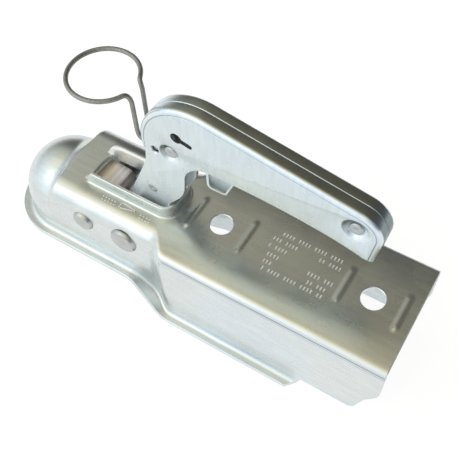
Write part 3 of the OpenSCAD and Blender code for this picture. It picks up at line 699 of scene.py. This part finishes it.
# Rounded edges at the seam between the shells, as [distance from the middle, inset]
SEAM = [(0.1, 0.22), (0.18, 0.1), (0.3, 0.02), (0.5, 0.0)]
# Line that the die left along the edge of the flat side, as [distance from the outline, depth]
SHELL_LINE = ((2.5, 0.0), (2.7, 0.15), (2.95, 0.15), (3.15, 0.0))
# Dished seats of the rivets, as [place, diameter], and their floor
SEATS = ((FRONT_RIVET, 12.0), (REAR_RIVET, 14.0))
SEAT_FLOOR = SHELL_HW - 2.0


def grip_outline(inset):
    """Side outline of the whole grip: four arcs and their common tangents."""
    circles = ((HEEL_LOW, LOW_R, 4), (HEEL, HEEL_R, 24), (CROWN, CROWN_R, 56),
               (CROWN_LOW, LOW_R, 4))

    def tangent(a, b):
        dx, dz = b[0][0] - a[0][0], b[0][1] - a[0][1]
        lean = math.acos((a[1] - b[1]) / math.hypot(dx, dz))
        return math.degrees(math.atan2(dz, dx)) - math.degrees(lean)
    points = []
    for i, c in enumerate(circles):
        a0 = tangent(circles[i - 1], c)
        a1 = tangent(c, circles[(i + 1) % 4])
        while a1 < a0 - 0.001:
            a1 += 360
        points += arc(c[0], c[1] - inset, a0, a1, c[2])
    return points


def grip_form(name, inset, outside):
    """Solid of one half of the grip, from the middle to its flat side, for its outside or for the
    hollow inside it."""
    r = SHELL_R - inset
    levels = list(SEAM) if outside else [(-1.0, inset)]
    levels += [(SHELL_HW - SHELL_R + r * math.sin(a), inset + r * (1 - math.cos(a)))
               for a in np.radians(np.linspace(0, 90, 9))]
    if outside:
        levels += [(SHELL_HW - deep, inset_at) for inset_at, deep in SHELL_LINE]
    rings = [[(x, y, z) for x, z in grip_outline(inset_at)] for y, inset_at in levels]
    return solid(name, *loft(rings))


def shell_side():
    """Side outline of a shell, from the front of the head round the neck."""
    head = [from_grip_pin(*p) for p in (
        (7.2, FLANGE_LOW), (0, FLANGE_LOW), (0, 102), (138, 102), (138, 55.9))]
    return (head + bezier(PALM, 24) + arc(THROAT, THROAT_R, 90, 180, 20)[1:]
            + bezier(NECK_BACK, 12) + [NECK_FOOT] + arc(GRIP_PIN, LOBE_R, 10, -210, 60)
            + NECK_FRONT)


def seat_cutter(at, d):
    """Dished seat of a rivet, as a cutter from the flat side."""
    r, floor = d / 2, SEAT_FLOOR
    profile = [(0, floor), (r - 2.6, floor), (r - 2.1, floor + 0.12), (r - 1.7, floor + 0.45),
               (r - 0.7, floor + 1.6), (r - 0.3, floor + 1.75), (r + 0.2, SHELL_HW - 0.02),
               (r + 0.6, SHELL_HW + 0.2), (0, SHELL_HW + 0.6)]
    return turned("seat_form", at, profile)


def seat_boss(at, d):
    """Material behind a dished seat."""
    profile = [(0, 2.8), (d / 2 - 1, 2.8), (d / 2 + 0.8, 5.2), (0, 5.2)]
    return turned("boss_form", at, profile)


def keyhole_cutter():
    along = (KEYHOLE_END[0] - KEYHOLE[0], KEYHOLE_END[1] - KEYHOLE[1])
    a = math.degrees(math.atan2(along[1], along[0]))
    width, r = 1.5, 3.2
    meet = math.degrees(math.asin(width / r))
    outline = arc(KEYHOLE, r, a + meet, a + 360 - meet, 32)
    outline += arc(KEYHOLE_END, width, a - 90, a + 90, 12)
    return prism("keyhole_form", outline, SHELL_HW - 3.5, SHELL_HW + 1, "y")


def ring_hole_cutter():
    profile = [(0, 3), (1.9, 3), (1.9, 6.0), (2.8, 6.9), (2.8, 7.1), (0, 7.1)]
    return turned("hole_form", RING_HOLE, profile, 32)


def rectangle(x0, z0, x1, z1):
    return [(x0, z0), (x1, z0), (x1, z1), (x0, z1)]


def paint_shell(shell):
    """Painted shade: die line of the flat side, dishes' upper left walls, ring hole and heel end.
    """
    x, y, z = points_of(shell)
    # Painted shade along the die line's groove round the flat side
    paint(shell, "crease_shade", abs(y - (SHELL_HW - SHELL_LINE[1][1])) < 0.03)
    shade = np.zeros(len(x))
    for at, d in SEATS:
        dx, dz = x - at[0], z - at[1]
        away = np.hypot(dx, dz)
        # Painted shade on the upper left of each dish's wall, fading to none at its lower right
        dish_shade = np.clip(0.45 - 0.6 * (dx - dz) / (1.414 * np.maximum(away, 0.1)), 0, 1)
        slope = within(away, d / 2 - 2.8, d / 2 - 0.25) & (y > SEAT_FLOOR - 0.1)
        shade = np.maximum(shade, dish_shade * slope)
    # Painted shade in the ring hole
    in_hole = np.hypot(x - RING_HOLE[0], z - RING_HOLE[1]) < 2.6
    shade = np.maximum(shade, in_hole & (y < SHELL_HW - 0.1))
    # Painted shade on the heel's rounded end, darker towards its back
    dx, dz = x - HEEL[0], z - HEEL[1]
    round_heel = (np.hypot(dx, dz) > HEEL_R - 0.3) & (y < SHELL_HW - 1.6)
    paint(shell, "shade", np.maximum(shade, np.clip(dx / HEEL_R, 0, 1) * round_heel))


def build_shell(side):
    """One shell of the grip, made on the far side and mirrored for the near one."""
    wall = SHELL_HW - SHELL_T
    shell = grip_form("shell_form", 0.0, True)
    combine(shell, [grip_form("hollow_form", SHELL_T, False)], "DIFFERENCE")
    low = from_grip_pin(-17, -17)
    reach = from_grip_pin(32.2, 63.3)
    neck_room = rectangle(*low, reach[0] + 2, GRIP_PIN[1] + FLANGE_LOW)
    combine(shell, [prism("neck_room", neck_room, -1, wall + 0.001, "y")], "DIFFERENCE")
    neck = [low, (reach[0] + 8, low[1]), (reach[0] + 8, reach[1]), (GRIP_PIN[0] + 5, reach[1]),
            (low[0], CROWN_LOW[1])]
    combine(shell, [prism("neck_form", neck, wall, SHELL_HW, "y")], "UNION")
    z = RING_HOLE[1]
    leg_room = rectangle(GRIP_PIN[0], z - 6, GRIP_PIN[0] + 11, z + 3.6)
    combine(shell, [prism("leg_room", leg_room, 1.9, 5.1, "y")], "DIFFERENCE")
    combine(shell, [seat_boss(at, d) for at, d in SEATS], "UNION")
    combine(shell, [prism("side_form", shell_side(), 0.0, SHELL_HW + 1, "y")], "INTERSECT")
    bevel(shell, 0.35, 55)
    cutters = [seat_cutter(at, d) for at, d in SEATS] + [keyhole_cutter(), ring_hole_cutter()]
    combine(shell, cutters, "DIFFERENCE")
    paint_shell(shell)
    if side < 0:
        shell.data.transform(Matrix.Scale(-1, 4, (0, 1, 0)))
        shell.data.flip_normals()
    return crisp(shell, 30)


# Rivets and pins

def both_ends(at, end, steps=64):
    """A pin with the same head at both ends, from one end's [radius, y] points."""
    profile = [(r, -y) for r, y in reversed(end)] + end
    return crisp(turned("pin_form", at, profile, steps), 40)


def build_riveted_pin(at, shank, head):
    """A pin through the housing, with low heads that have a small dimple."""
    base, end = FRONT_HW - 0.3, FRONT_HW + 2.0
    return both_ends(at, [
        (shank, base), (head, base), (head, base + 0.5), (head - 0.25, base + 1.0),
        (head - 0.9, end - 0.25), (head - 1.8, end), (3.1, end), (2.5, end - 0.12),
        (1.6, end - 0.5), (0.8, end - 0.75), (0, end - 0.8)])


def build_shell_rivet(at):
    """A rivet through both shells, in the middle of its dished seats."""
    floor = SEAT_FLOOR
    return both_ends(at, [
        (3.0, floor - 0.1), (3.7, floor - 0.1), (3.7, floor + 0.5), (3.55, floor + 0.9),
        (3.1, floor + 1.3), (2.4, floor + 1.5), (1.7, floor + 1.5), (1.2, floor + 1.35),
        (0.6, floor + 0.95), (0, floor + 0.85)], 48)


def build_neck_rivet():
    """The low rivet in the grip's neck."""
    return both_ends(NECK_RIVET, [
        (3.0, SHELL_HW - 0.5), (3.0, SHELL_HW - 0.05), (2.7, SHELL_HW + 0.15),
        (2.0, SHELL_HW + 0.38), (1.2, SHELL_HW + 0.4), (0.7, SHELL_HW + 0.1),
        (0, SHELL_HW - 0.05)], 48)


# Jaw, trigger, ring and coil

def build_jaw():
    """The clamping jaw with its edges rounded."""
    return softened("jaw", "jaw_form", 0.5)


def build_trigger():
    """The pressed trigger: rounded edges, and a finger tab with sunk sides in painted shade."""
    trigger = softened("release_trigger", "trigger_form", 0.35)
    tail = bevel(prism("tab_tail", TAB_TAIL, -TAB_HW, TAB_HW, "y"), 0.35)
    combine(trigger, [tail], "UNION")
    # The sunk sides: distance from the tab's edges, corner radius, upper end and half width
    inset, r, top, sunk = 1.5, 2.0, TAB_Z + 20, TAB_HW - 0.6
    x0, x1, z0 = TAB_X + inset, TAB_X + TAB_L, TAB_Z + inset
    outline = [(x1 + 2.2, top), (x0, top)] + arc((x0 + r, z0 + r), r, 180, 270, 6)
    outline += [(x1 - inset - 2.4, z0), (x1 - inset - 1.2, z0 + 0.5), (x1 + 1.2, TAB_Z + 12)]
    for side in (-1, 1):
        low, high = sorted((side * sunk, side * (TAB_HW + 0.5)))
        combine(trigger, [prism("tab_form", outline, low, high, "y")], "DIFFERENCE")
    crisp(trigger)
    x, y, z = points_of(trigger)
    # Painted shade on the floor of the sunk sides
    paint(trigger, "shade", (abs(abs(y) - sunk) < 0.05) & (z < top - 12) & (x > TAB_X))
    return trigger


def build_ring():
    """Sprung wire from the hole in one shell, up in front of the head, round and back."""
    end, inner = SHELL_HW - 0.9, SHELL_HW - SHELL_T
    x, z = RING_HOLE
    # The legs' place, and the ring's centre, radius and half opening
    leg, y = GRIP_PIN[0] + 3.5, 3.5
    ring_x, ring_z, r, open_a = GRIP_PIN[0] - 15.7, GRIP_PIN[1] + 95.1, 18.0, 24.0
    half = [(x, end, z), (x, end - 0.3, z), (x, inner, z)]
    half += bezier([(x, inner, z), (x, y, z), (x, y, z), (x - 3, y, z)], 10)[1:]
    half += bezier([(x - 6, y + 0.3, z), (leg + 0.5, y + 0.6, z), (leg, y + 0.8, z + 2),
                    (leg, y + 0.9, z + 8)], 12)
    a = math.radians(open_a)
    start = (ring_x + r * math.cos(a), r * math.sin(a), ring_z)
    lead = (start[0] + 2.5 * math.sin(a), start[1] - 2.5 * math.cos(a), ring_z)
    half += bezier([(leg, y + 1, ring_z - 6), (leg, y + 1.2, ring_z - 2), lead, start], 12)
    turns = np.radians(np.linspace(open_a, 360 - open_a, 73)[1:-1])
    hoop = [(ring_x + r * math.cos(a), r * math.sin(a), ring_z) for a in turns]
    other = [(px, -py, pz) for px, py, pz in reversed(half)]
    return along_wire("ring_wire", half + hoop + other, 1.2, 20)


def build_trigger_spring():
    """Coil between the trigger's seat and the grip's roof."""
    r, wire, turns = 3.2, 0.45, 7
    whole = 2 * math.pi * turns
    low, high = SPRING_Z[0] + wire, SPRING_Z[1] - wire
    coil = [(SPRING_X + r * math.cos(a), r * math.sin(a), low + (high - low) * a / whole)
            for a in np.linspace(0, whole, 28 * turns)]
    return along_wire("spring_form", coil, wire, 12)


# Materials

def put(node, inputs):
    """Sets inputs of a node, each to a plain value or to what a socket gives."""
    for key, value in inputs.items():
        if isinstance(value, bpy.types.NodeSocket):
            node.id_data.links.new(value, node.inputs[key])
        else:
            node.inputs[key].default_value = value
    return node


def beside(socket, kind):
    """A new node in the tree of a socket."""
    return socket.id_data.nodes.new("ShaderNode" + kind)


def node_tree(name):
    """A new material, its nodes and its one shader."""
    mat = bpy.data.materials.new(name)
    mat.use_nodes = True
    nodes = mat.node_tree.nodes
    nodes.clear()
    out = nodes.new("ShaderNodeOutputMaterial")
    shader = nodes.new("ShaderNodeBsdfPrincipled")
    put(out, {"Surface": shader.outputs["BSDF"]})
    return mat, nodes, shader


def noise(coords, scale, detail, rough, stretch=(1, 1, 1)):
    mapping = put(beside(coords, "Mapping"), {"Vector": coords, "Scale": stretch})
    tex = put(beside(coords, "TexNoise"), {
        "Vector": mapping.outputs["Vector"], "Scale": scale, "Detail": detail, "Roughness": rough})
    return tex.outputs["Fac"]


def ramp(fac, *stops):
    """Colour by a value, from stops as [value, grey or (red, green, blue)]."""
    node = put(beside(fac, "ValToRGB"), {"Fac": fac})
    elements = node.color_ramp.elements
    while len(elements) < len(stops):
        elements.new(0.5)
    for e, (pos, tone) in zip(elements, stops):
        e.position = pos
        e.color = (*tone, 1) if isinstance(tone, tuple) else (tone, tone, tone, 1)
    return node.outputs["Color"]


def mix(kind, fac, a, b):
    """Blend of socket a with b, a socket or three numbers; fac is a socket or a number."""
    node = beside(a, "Mix")
    node.data_type = "RGBA"
    node.blend_type = kind
    put(node, {"Factor": fac, 6: a, 7: (*b, 1) if isinstance(b, tuple) else b})
    return node.outputs[2]


def times(a, b):
    return mix("MULTIPLY", 1.0, a, b)


def axes_of(vector):
    """The x, y and z of a vector socket."""
    return put(beside(vector, "SeparateXYZ"), {0: vector}).outputs


def calculate(operation, a, b=0.0):
    node = put(beside(a, "Math"), {0: a, 1: b})
    node.operation = operation
    return node.outputs[0]


def painted(nodes, name):
    """Value that paint() stored on the piece; 0 where it stored none."""
    node = nodes.new("ShaderNodeAttribute")
    node.attribute_name = name
    return node.outputs["Fac"]


def bump(height, strength, distance, normal=None):
    inputs = {"Height": height, "Strength": strength, "Distance": distance * MM}
    if normal is not None:
        inputs["Normal"] = normal
    return put(beside(height, "Bump"), inputs).outputs["Normal"]


def tinted(tone, by):
    return tuple(t * b for t, b in zip(tone, by))


ZINC_METALLIC = 0.9
# Tints of the painted shade in the die lines and in shaded places, and the tone of the stamped
# marks, which also paints light on the rim's faces
CREASE_SHADE_TINT, SHADE_TINT, MARK_AND_RIM_LIGHT_TONE = (0.42, 0.46, 0.56), (0.22, 0.25, 0.24), (0.95, 0.95, 0.92)


def zinc(name, tone, rough, brush, mottle, top_shade_tint, side_metallic=ZINC_METALLIC):
    """Zinc plating: cloudy colour, painted shade and a warm painted reflection on what faces up,
    fine brushed lines along one direction, soft swells, painted shade in the die lines and in
    shaded places, lighter stamped marks, and rim faces painted light."""
    mat, nodes, shader = node_tree(name)
    place_in = nodes.new("ShaderNodeTexCoord").outputs
    coords = place_in["Object"]
    facing = axes_of(place_in["Normal"])
    clouds = noise(coords, 55.0, 3.0, 0.6)
    swells = noise(coords, 55.0, 2.0, 0.4)
    large = noise(coords, 14.0, 3.0, 0.5)
    fine = noise(coords, 480.0, 1.0, 0.4, brush)
    color = ramp(large, (0.36, tinted(tone, (0.98, 1.0, 1.02))),
                 (0.64, tinted(tone, (1.02, 1.0, 0.95))))
    # Painted shade and reflection: what faces up and lies above the ball's centre is tinted darker
    # and warmer, as the dim warm ceiling it reflects
    top_shade_mask = times(ramp(facing[2], (0.75, 0.0), (0.97, 1.0)),
                   ramp(axes_of(coords)[2], (0.0, 0.0), (0.02, 1.0)))
    color = mix("MULTIPLY", top_shade_mask, color, top_shade_tint)
    for fac, low in ((clouds, 1 - mottle), (fine, 0.93)):
        color = times(color, ramp(fac, (0.3, low), (0.7, 1.0)))
    # Painted shade in the die lines' grooves
    color = mix("MULTIPLY", painted(nodes, "crease_shade"), color, CREASE_SHADE_TINT)
    # Painted shade in shaded places: the shells' dishes, ring hole and heel, the tab's sunk sides,
    # beside the rim and inside the housing
    color = mix("MULTIPLY", painted(nodes, "shade"), color, SHADE_TINT)
    # Lighter stamped marks, and rim faces painted light with the same tone
    color = mix("MIX", painted(nodes, "marks_and_rim_light"), color, MARK_AND_RIM_LIGHT_TONE)
    sideways = calculate("ABSOLUTE", facing[1])
    bare = ramp(sideways, (0.93, ZINC_METALLIC), (0.99, side_metallic))
    # The marks and the rim faces painted light lose their metal sheen
    marks_matte = ramp(painted(nodes, "marks_and_rim_light"), (0.0, 1.0), (1.0, 0.1))
    put(shader, {"Base Color": color, "Metallic": times(bare, marks_matte),
                 "Roughness": ramp(clouds, (0.3, rough - 0.04), (0.7, rough + 0.06)),
                 "Normal": bump(swells, 0.25, 0.06, bump(fine, 0.1, 0.02))})
    return mat


def plain_steel(name, tone, rough, brush):
    """Bare or oiled steel with fine lines along one direction."""
    mat, nodes, shader = node_tree(name)
    coords = nodes.new("ShaderNodeTexCoord").outputs["Object"]
    fine = noise(coords, 700.0, 4.0, 0.6, brush)
    clouds = noise(coords, 90.0, 4.0, 0.6)
    cloudy = ramp(clouds, (0.3, tinted(tone, (0.85, 0.85, 0.85))), (0.7, tone))
    put(shader, {"Base Color": times(cloudy, ramp(fine, (0.35, 0.7), (0.65, 1.0))),
                 "Metallic": 0.8,
                 "Roughness": ramp(clouds, (0.3, rough - 0.05), (0.7, rough + 0.08)),
                 "Normal": bump(fine, 0.3, 0.04)})
    return mat


# Where the jaw's colours begin and end along X, and its colours from front to back, painted as
# light and shade on its curled face: a warm painted reflection in front, painted light on the pale
# middle and painted shade where it curls down behind
JAW_SPAN = (22, 46)
JAW_TONES = ((0.10, (0.78, 0.66, 0.50)), (0.28, (0.97, 0.83, 0.64)), (0.45, (0.98, 0.90, 0.83)),
             (0.6, (1.0, 0.95, 0.97)), (0.72, (1.0, 0.95, 0.97)), (0.79, (0.55, 0.50, 0.51)),
             (0.84, (0.80, 0.75, 0.76)), (0.9, (0.25, 0.21, 0.20)))


def shaded_jaw_steel(name):
    """The jaw's face in painted light and shade: tan in front, paler and pinkish further back,
    darker where it curls down, with dark lines across it.
    """
    mat, nodes, shader = node_tree(name)
    coords = nodes.new("ShaderNodeTexCoord").outputs["Object"]
    span = put(nodes.new("ShaderNodeMapRange"), {
        "Value": axes_of(coords)[0], "From Min": JAW_SPAN[0] * MM, "From Max": JAW_SPAN[1] * MM})
    lines = noise(coords, 800.0, 3.0, 0.6, (1.0, 0.02, 0.3))
    clouds = noise(coords, 130.0, 4.0, 0.6)
    color = times(ramp(span.outputs[0], *JAW_TONES), ramp(lines, (0.36, 0.75), (0.55, 1.0)))
    color = times(color, ramp(clouds, (0.3, 0.92), (0.6, 1.0)))
    put(shader, {"Base Color": color, "Metallic": 0.3, "Roughness": 0.45,
                 "Normal": bump(lines, 0.35, 0.05)})
    return mat


# Each finish's tint for what faces up is a painted shade and warm painted reflection; on the grip
# it darkens the top band strongly
ZINC_SHEET = zinc("zinc_sheet", tone=(0.71, 0.765, 0.80), rough=0.26, brush=(0.12, 1.0, 1.0),
                  mottle=0.08, top_shade_tint=(1.0, 0.965, 0.86))
ZINC_GRIP = zinc("zinc_grip", tone=(0.80, 0.88, 0.93), rough=0.27, brush=(1.0, 1.0, 0.15),
                 mottle=0.05, top_shade_tint=(0.56, 0.51, 0.41), side_metallic=0.25)
ZINC_PIN = zinc("zinc_pin", tone=(0.55, 0.58, 0.59), rough=0.30, brush=(1.0, 1.0, 1.0),
                mottle=0.2, top_shade_tint=(1.0, 0.98, 0.92))
JAW_STEEL = shaded_jaw_steel("jaw_steel")
CAM_STEEL = plain_steel("cam_steel", (0.50, 0.47, 0.44), 0.45, (1.0, 0.03, 1.0))
SPRING_STEEL = plain_steel("spring_wire", (0.30, 0.30, 0.29), 0.35, (1.0, 1.0, 1.0))
RING_STEEL = plain_steel("ring_wire", (0.40, 0.40, 0.38), 0.45, (1.0, 1.0, 1.0))
BRASS = plain_steel("bush_brass", (0.62, 0.47, 0.25), 0.35, (1.0, 0.1, 1.0))


# Pieces

def dress(obj, material):
    obj.data.materials.clear()
    obj.data.materials.append(material)


def place(obj, name, body, material, node):
    """Names the piece, dresses it, and puts it on its body in place of the node."""
    obj.name = name
    dress(obj, material)
    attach(obj, body)
    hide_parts(node)


place(build_housing(), "housing_pressed", "frame", ZINC_SHEET, "housing")
place(build_shell(-1), "grip_half_near", "grip", ZINC_GRIP, "grip_shell_near")
place(build_shell(1), "grip_half_far", "grip", ZINC_GRIP, "grip_shell_far")
place(build_riveted_pin(JAW_PIN, shank=5.0, head=6.75), "jaw_rivet", "frame",
      ZINC_PIN, "jaw_pin")
place(build_riveted_pin(GRIP_PIN, shank=6.0, head=8.5), "grip_rivet", "frame",
      ZINC_PIN, "grip_pin")
place(build_shell_rivet(FRONT_RIVET), "head_rivet", "grip", ZINC_PIN, "front_rivet")
place(build_shell_rivet(REAR_RIVET), "heel_rivet", "grip", ZINC_PIN, "rear_rivet")
place(build_neck_rivet(), "cam_rivet", "grip", ZINC_PIN, "neck_rivet")
place(build_ring(), "plug_ring_wire", "ring", RING_STEEL, "plug_ring")

spring = build_trigger_spring()
place(spring, "trigger_coil", "grip", SPRING_STEEL, "trigger_spring")
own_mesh(spring)
place(build_jaw(), "clamp_jaw", "clamp", JAW_STEEL, "jaw")
place(build_trigger(), "trigger_lever", "trigger", ZINC_GRIP, "release_trigger")

for node, material in (("locking_cam", CAM_STEEL), ("cam_bush", BRASS),
                       ("jaw_spacer_near", SPRING_STEEL), ("jaw_spacer_far", SPRING_STEEL),
                       ("grip_spacer_near", ZINC_PIN), ("grip_spacer_far", ZINC_PIN),
                       ("rear_rivet_tube", ZINC_PIN), ("trigger_tube", ZINC_PIN),
                       ("grip_spring_near", SPRING_STEEL), ("grip_spring_far", SPRING_STEEL)):
    dress(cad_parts[node], material)


# Floor, light and camera

# Light at the floor's own colour, and the share of it in what the camera and reflections see; the
# rest of the floor is lit by the lamp, so the object's shadow stays on it
FLOOR_LIGHT, FLOOR_SHARE, FLOOR_TONE, FLOOR_HALF = 1.23, 0.72, 0.85, 6.0
# Elevation and azimuth of the window, and the room's level by the cosine of the angle from it
WINDOW = (33, -126)
ROOM_MOST = 1.5
ROOM = ((-1.0, 0.12), (0.1, 0.12), (0.26, 0.33), (0.42, 0.62), (0.6, 0.85), (0.8, 1.2), (1.0, 1.5))
HORIZON = (0.57, 0.60, 0.63)
COOL, WARM, GOLDEN = (0.92, 0.98, 1.0), (1.0, 0.965, 0.86), (1.0, 0.94, 0.72)
# The lamp in the window: distance and size in metres, radiance and colour
LAMP_AWAY, LAMP_SIZE, LAMP_RADIANCE, LAMP_COLOR = 0.8, (0.5, 0.3), 0.7, (1.0, 0.98, 0.92)
LAMP_AIM = Vector((0.08, 0.0, 0.02))


def direction(elevation, azimuth):
    e, a = math.radians(elevation), math.radians(azimuth)
    return Vector((math.cos(e) * math.cos(a), math.cos(e) * math.sin(a), math.sin(e)))


def build_floor():
    z = cad_box[0][2]
    corners = [(x * FLOOR_HALF, y * FLOOR_HALF, z) for x, y in ((-1, -1), (1, -1), (1, 1), (-1, 1))]
    mesh = bpy.data.meshes.new("floor")
    mesh.from_pydata(corners, [], [[0, 1, 2, 3]])
    floor = add("floor", mesh)
    mat, nodes, shader = node_tree("floor_white")
    put(shader, {"Base Color": (FLOOR_TONE, FLOOR_TONE, FLOOR_TONE, 1), "Roughness": 0.9,
                 "Specular IOR Level": 0.0})
    white = put(nodes.new("ShaderNodeEmission"), {"Strength": FLOOR_LIGHT})
    rays = nodes.new("ShaderNodeLightPath").outputs
    seen = rays["Is Camera Ray"]
    for kind in ("Is Glossy Ray", "Is Transmission Ray"):
        seen = calculate("MAXIMUM", seen, rays[kind])
    blend = put(nodes.new("ShaderNodeMixShader"), {
        0: calculate("MULTIPLY", seen, FLOOR_SHARE), 1: shader.outputs[0], 2: white.outputs[0]})
    out = next(n for n in nodes if n.type == "OUTPUT_MATERIAL")
    put(out, {"Surface": blend.outputs[0]})
    mesh.materials.append(mat)


def build_lamp():
    """A soft box in the window's direction that faces the object, at a plain radiance."""
    data = bpy.data.lights.new("window", "AREA")
    data.shape = "RECTANGLE"
    data.size, data.size_y = LAMP_SIZE
    data.energy = LAMP_RADIANCE * math.pi * LAMP_SIZE[0] * LAMP_SIZE[1]
    data.color = LAMP_COLOR
    lamp = add("window", data)
    lamp.location = LAMP_AIM + LAMP_AWAY * direction(*WINDOW)
    lamp.rotation_euler = (LAMP_AIM - lamp.location).to_track_quat("-Z", "Y").to_euler()


def build_world():
    """A room: pale around the horizon, bright towards the window and dim on the far side, with
    cool light low down and warm light above."""
    world = bpy.data.worlds.new("studio")
    bpy.context.scene.world = world
    world.use_nodes = True
    nodes = world.node_tree.nodes
    nodes.clear()
    look = nodes.new("ShaderNodeTexCoord").outputs["Generated"]
    height = axes_of(look)[2]
    side = put(nodes.new("ShaderNodeVectorMath"), {0: look, 1: direction(*WINDOW)})
    side.operation = "DOT_PRODUCT"
    span = put(nodes.new("ShaderNodeMapRange"), {"Value": side.outputs["Value"], "From Min": -1.0})
    towards = span.outputs[0]
    room = ramp(towards, *[((1 + at) / 2, level / ROOM_MOST) for at, level in ROOM])
    low = times(ramp(height, (0.06, 1.0), (0.24, 0.0)), ramp(towards, (0.3, 0.3), (0.6, 1.0)))
    tone = ramp(height, (0.5, COOL), (0.84, WARM), (0.97, GOLDEN))
    pale = mix("LIGHTEN", low, times(room, tone), tuple(c / ROOM_MOST for c in HORIZON))
    light = put(nodes.new("ShaderNodeBackground"), {"Color": pale, "Strength": ROOM_MOST})
    put(nodes.new("ShaderNodeOutputWorld"), {"Surface": light.outputs[0]})


# Camera fitted to the photograph: place in metres, its right and down directions, and its lens
CAMERA_AT = (0.2354, -0.1836, 0.3551)
CAMERA_RIGHT = (0.85329, 0.52074, -0.02676)
CAMERA_DOWN = (0.41808, -0.71393, -0.56171)
CAMERA_LENS = 56.82


def build_camera():
    data = bpy.data.cameras.new("camera")
    data.sensor_width = 36
    data.lens = CAMERA_LENS
    data.clip_start = 0.01
    camera = add("camera", data)
    right = Vector(CAMERA_RIGHT)
    up = -Vector(CAMERA_DOWN)
    turn = Matrix((right, up, right.cross(up))).transposed().to_4x4()
    camera.matrix_world = Matrix.Translation(CAMERA_AT) @ turn
    bpy.context.scene.camera = camera


build_floor()
build_world()
build_camera()
build_lamp()
bpy.context.scene.view_settings.view_transform = "Standard"
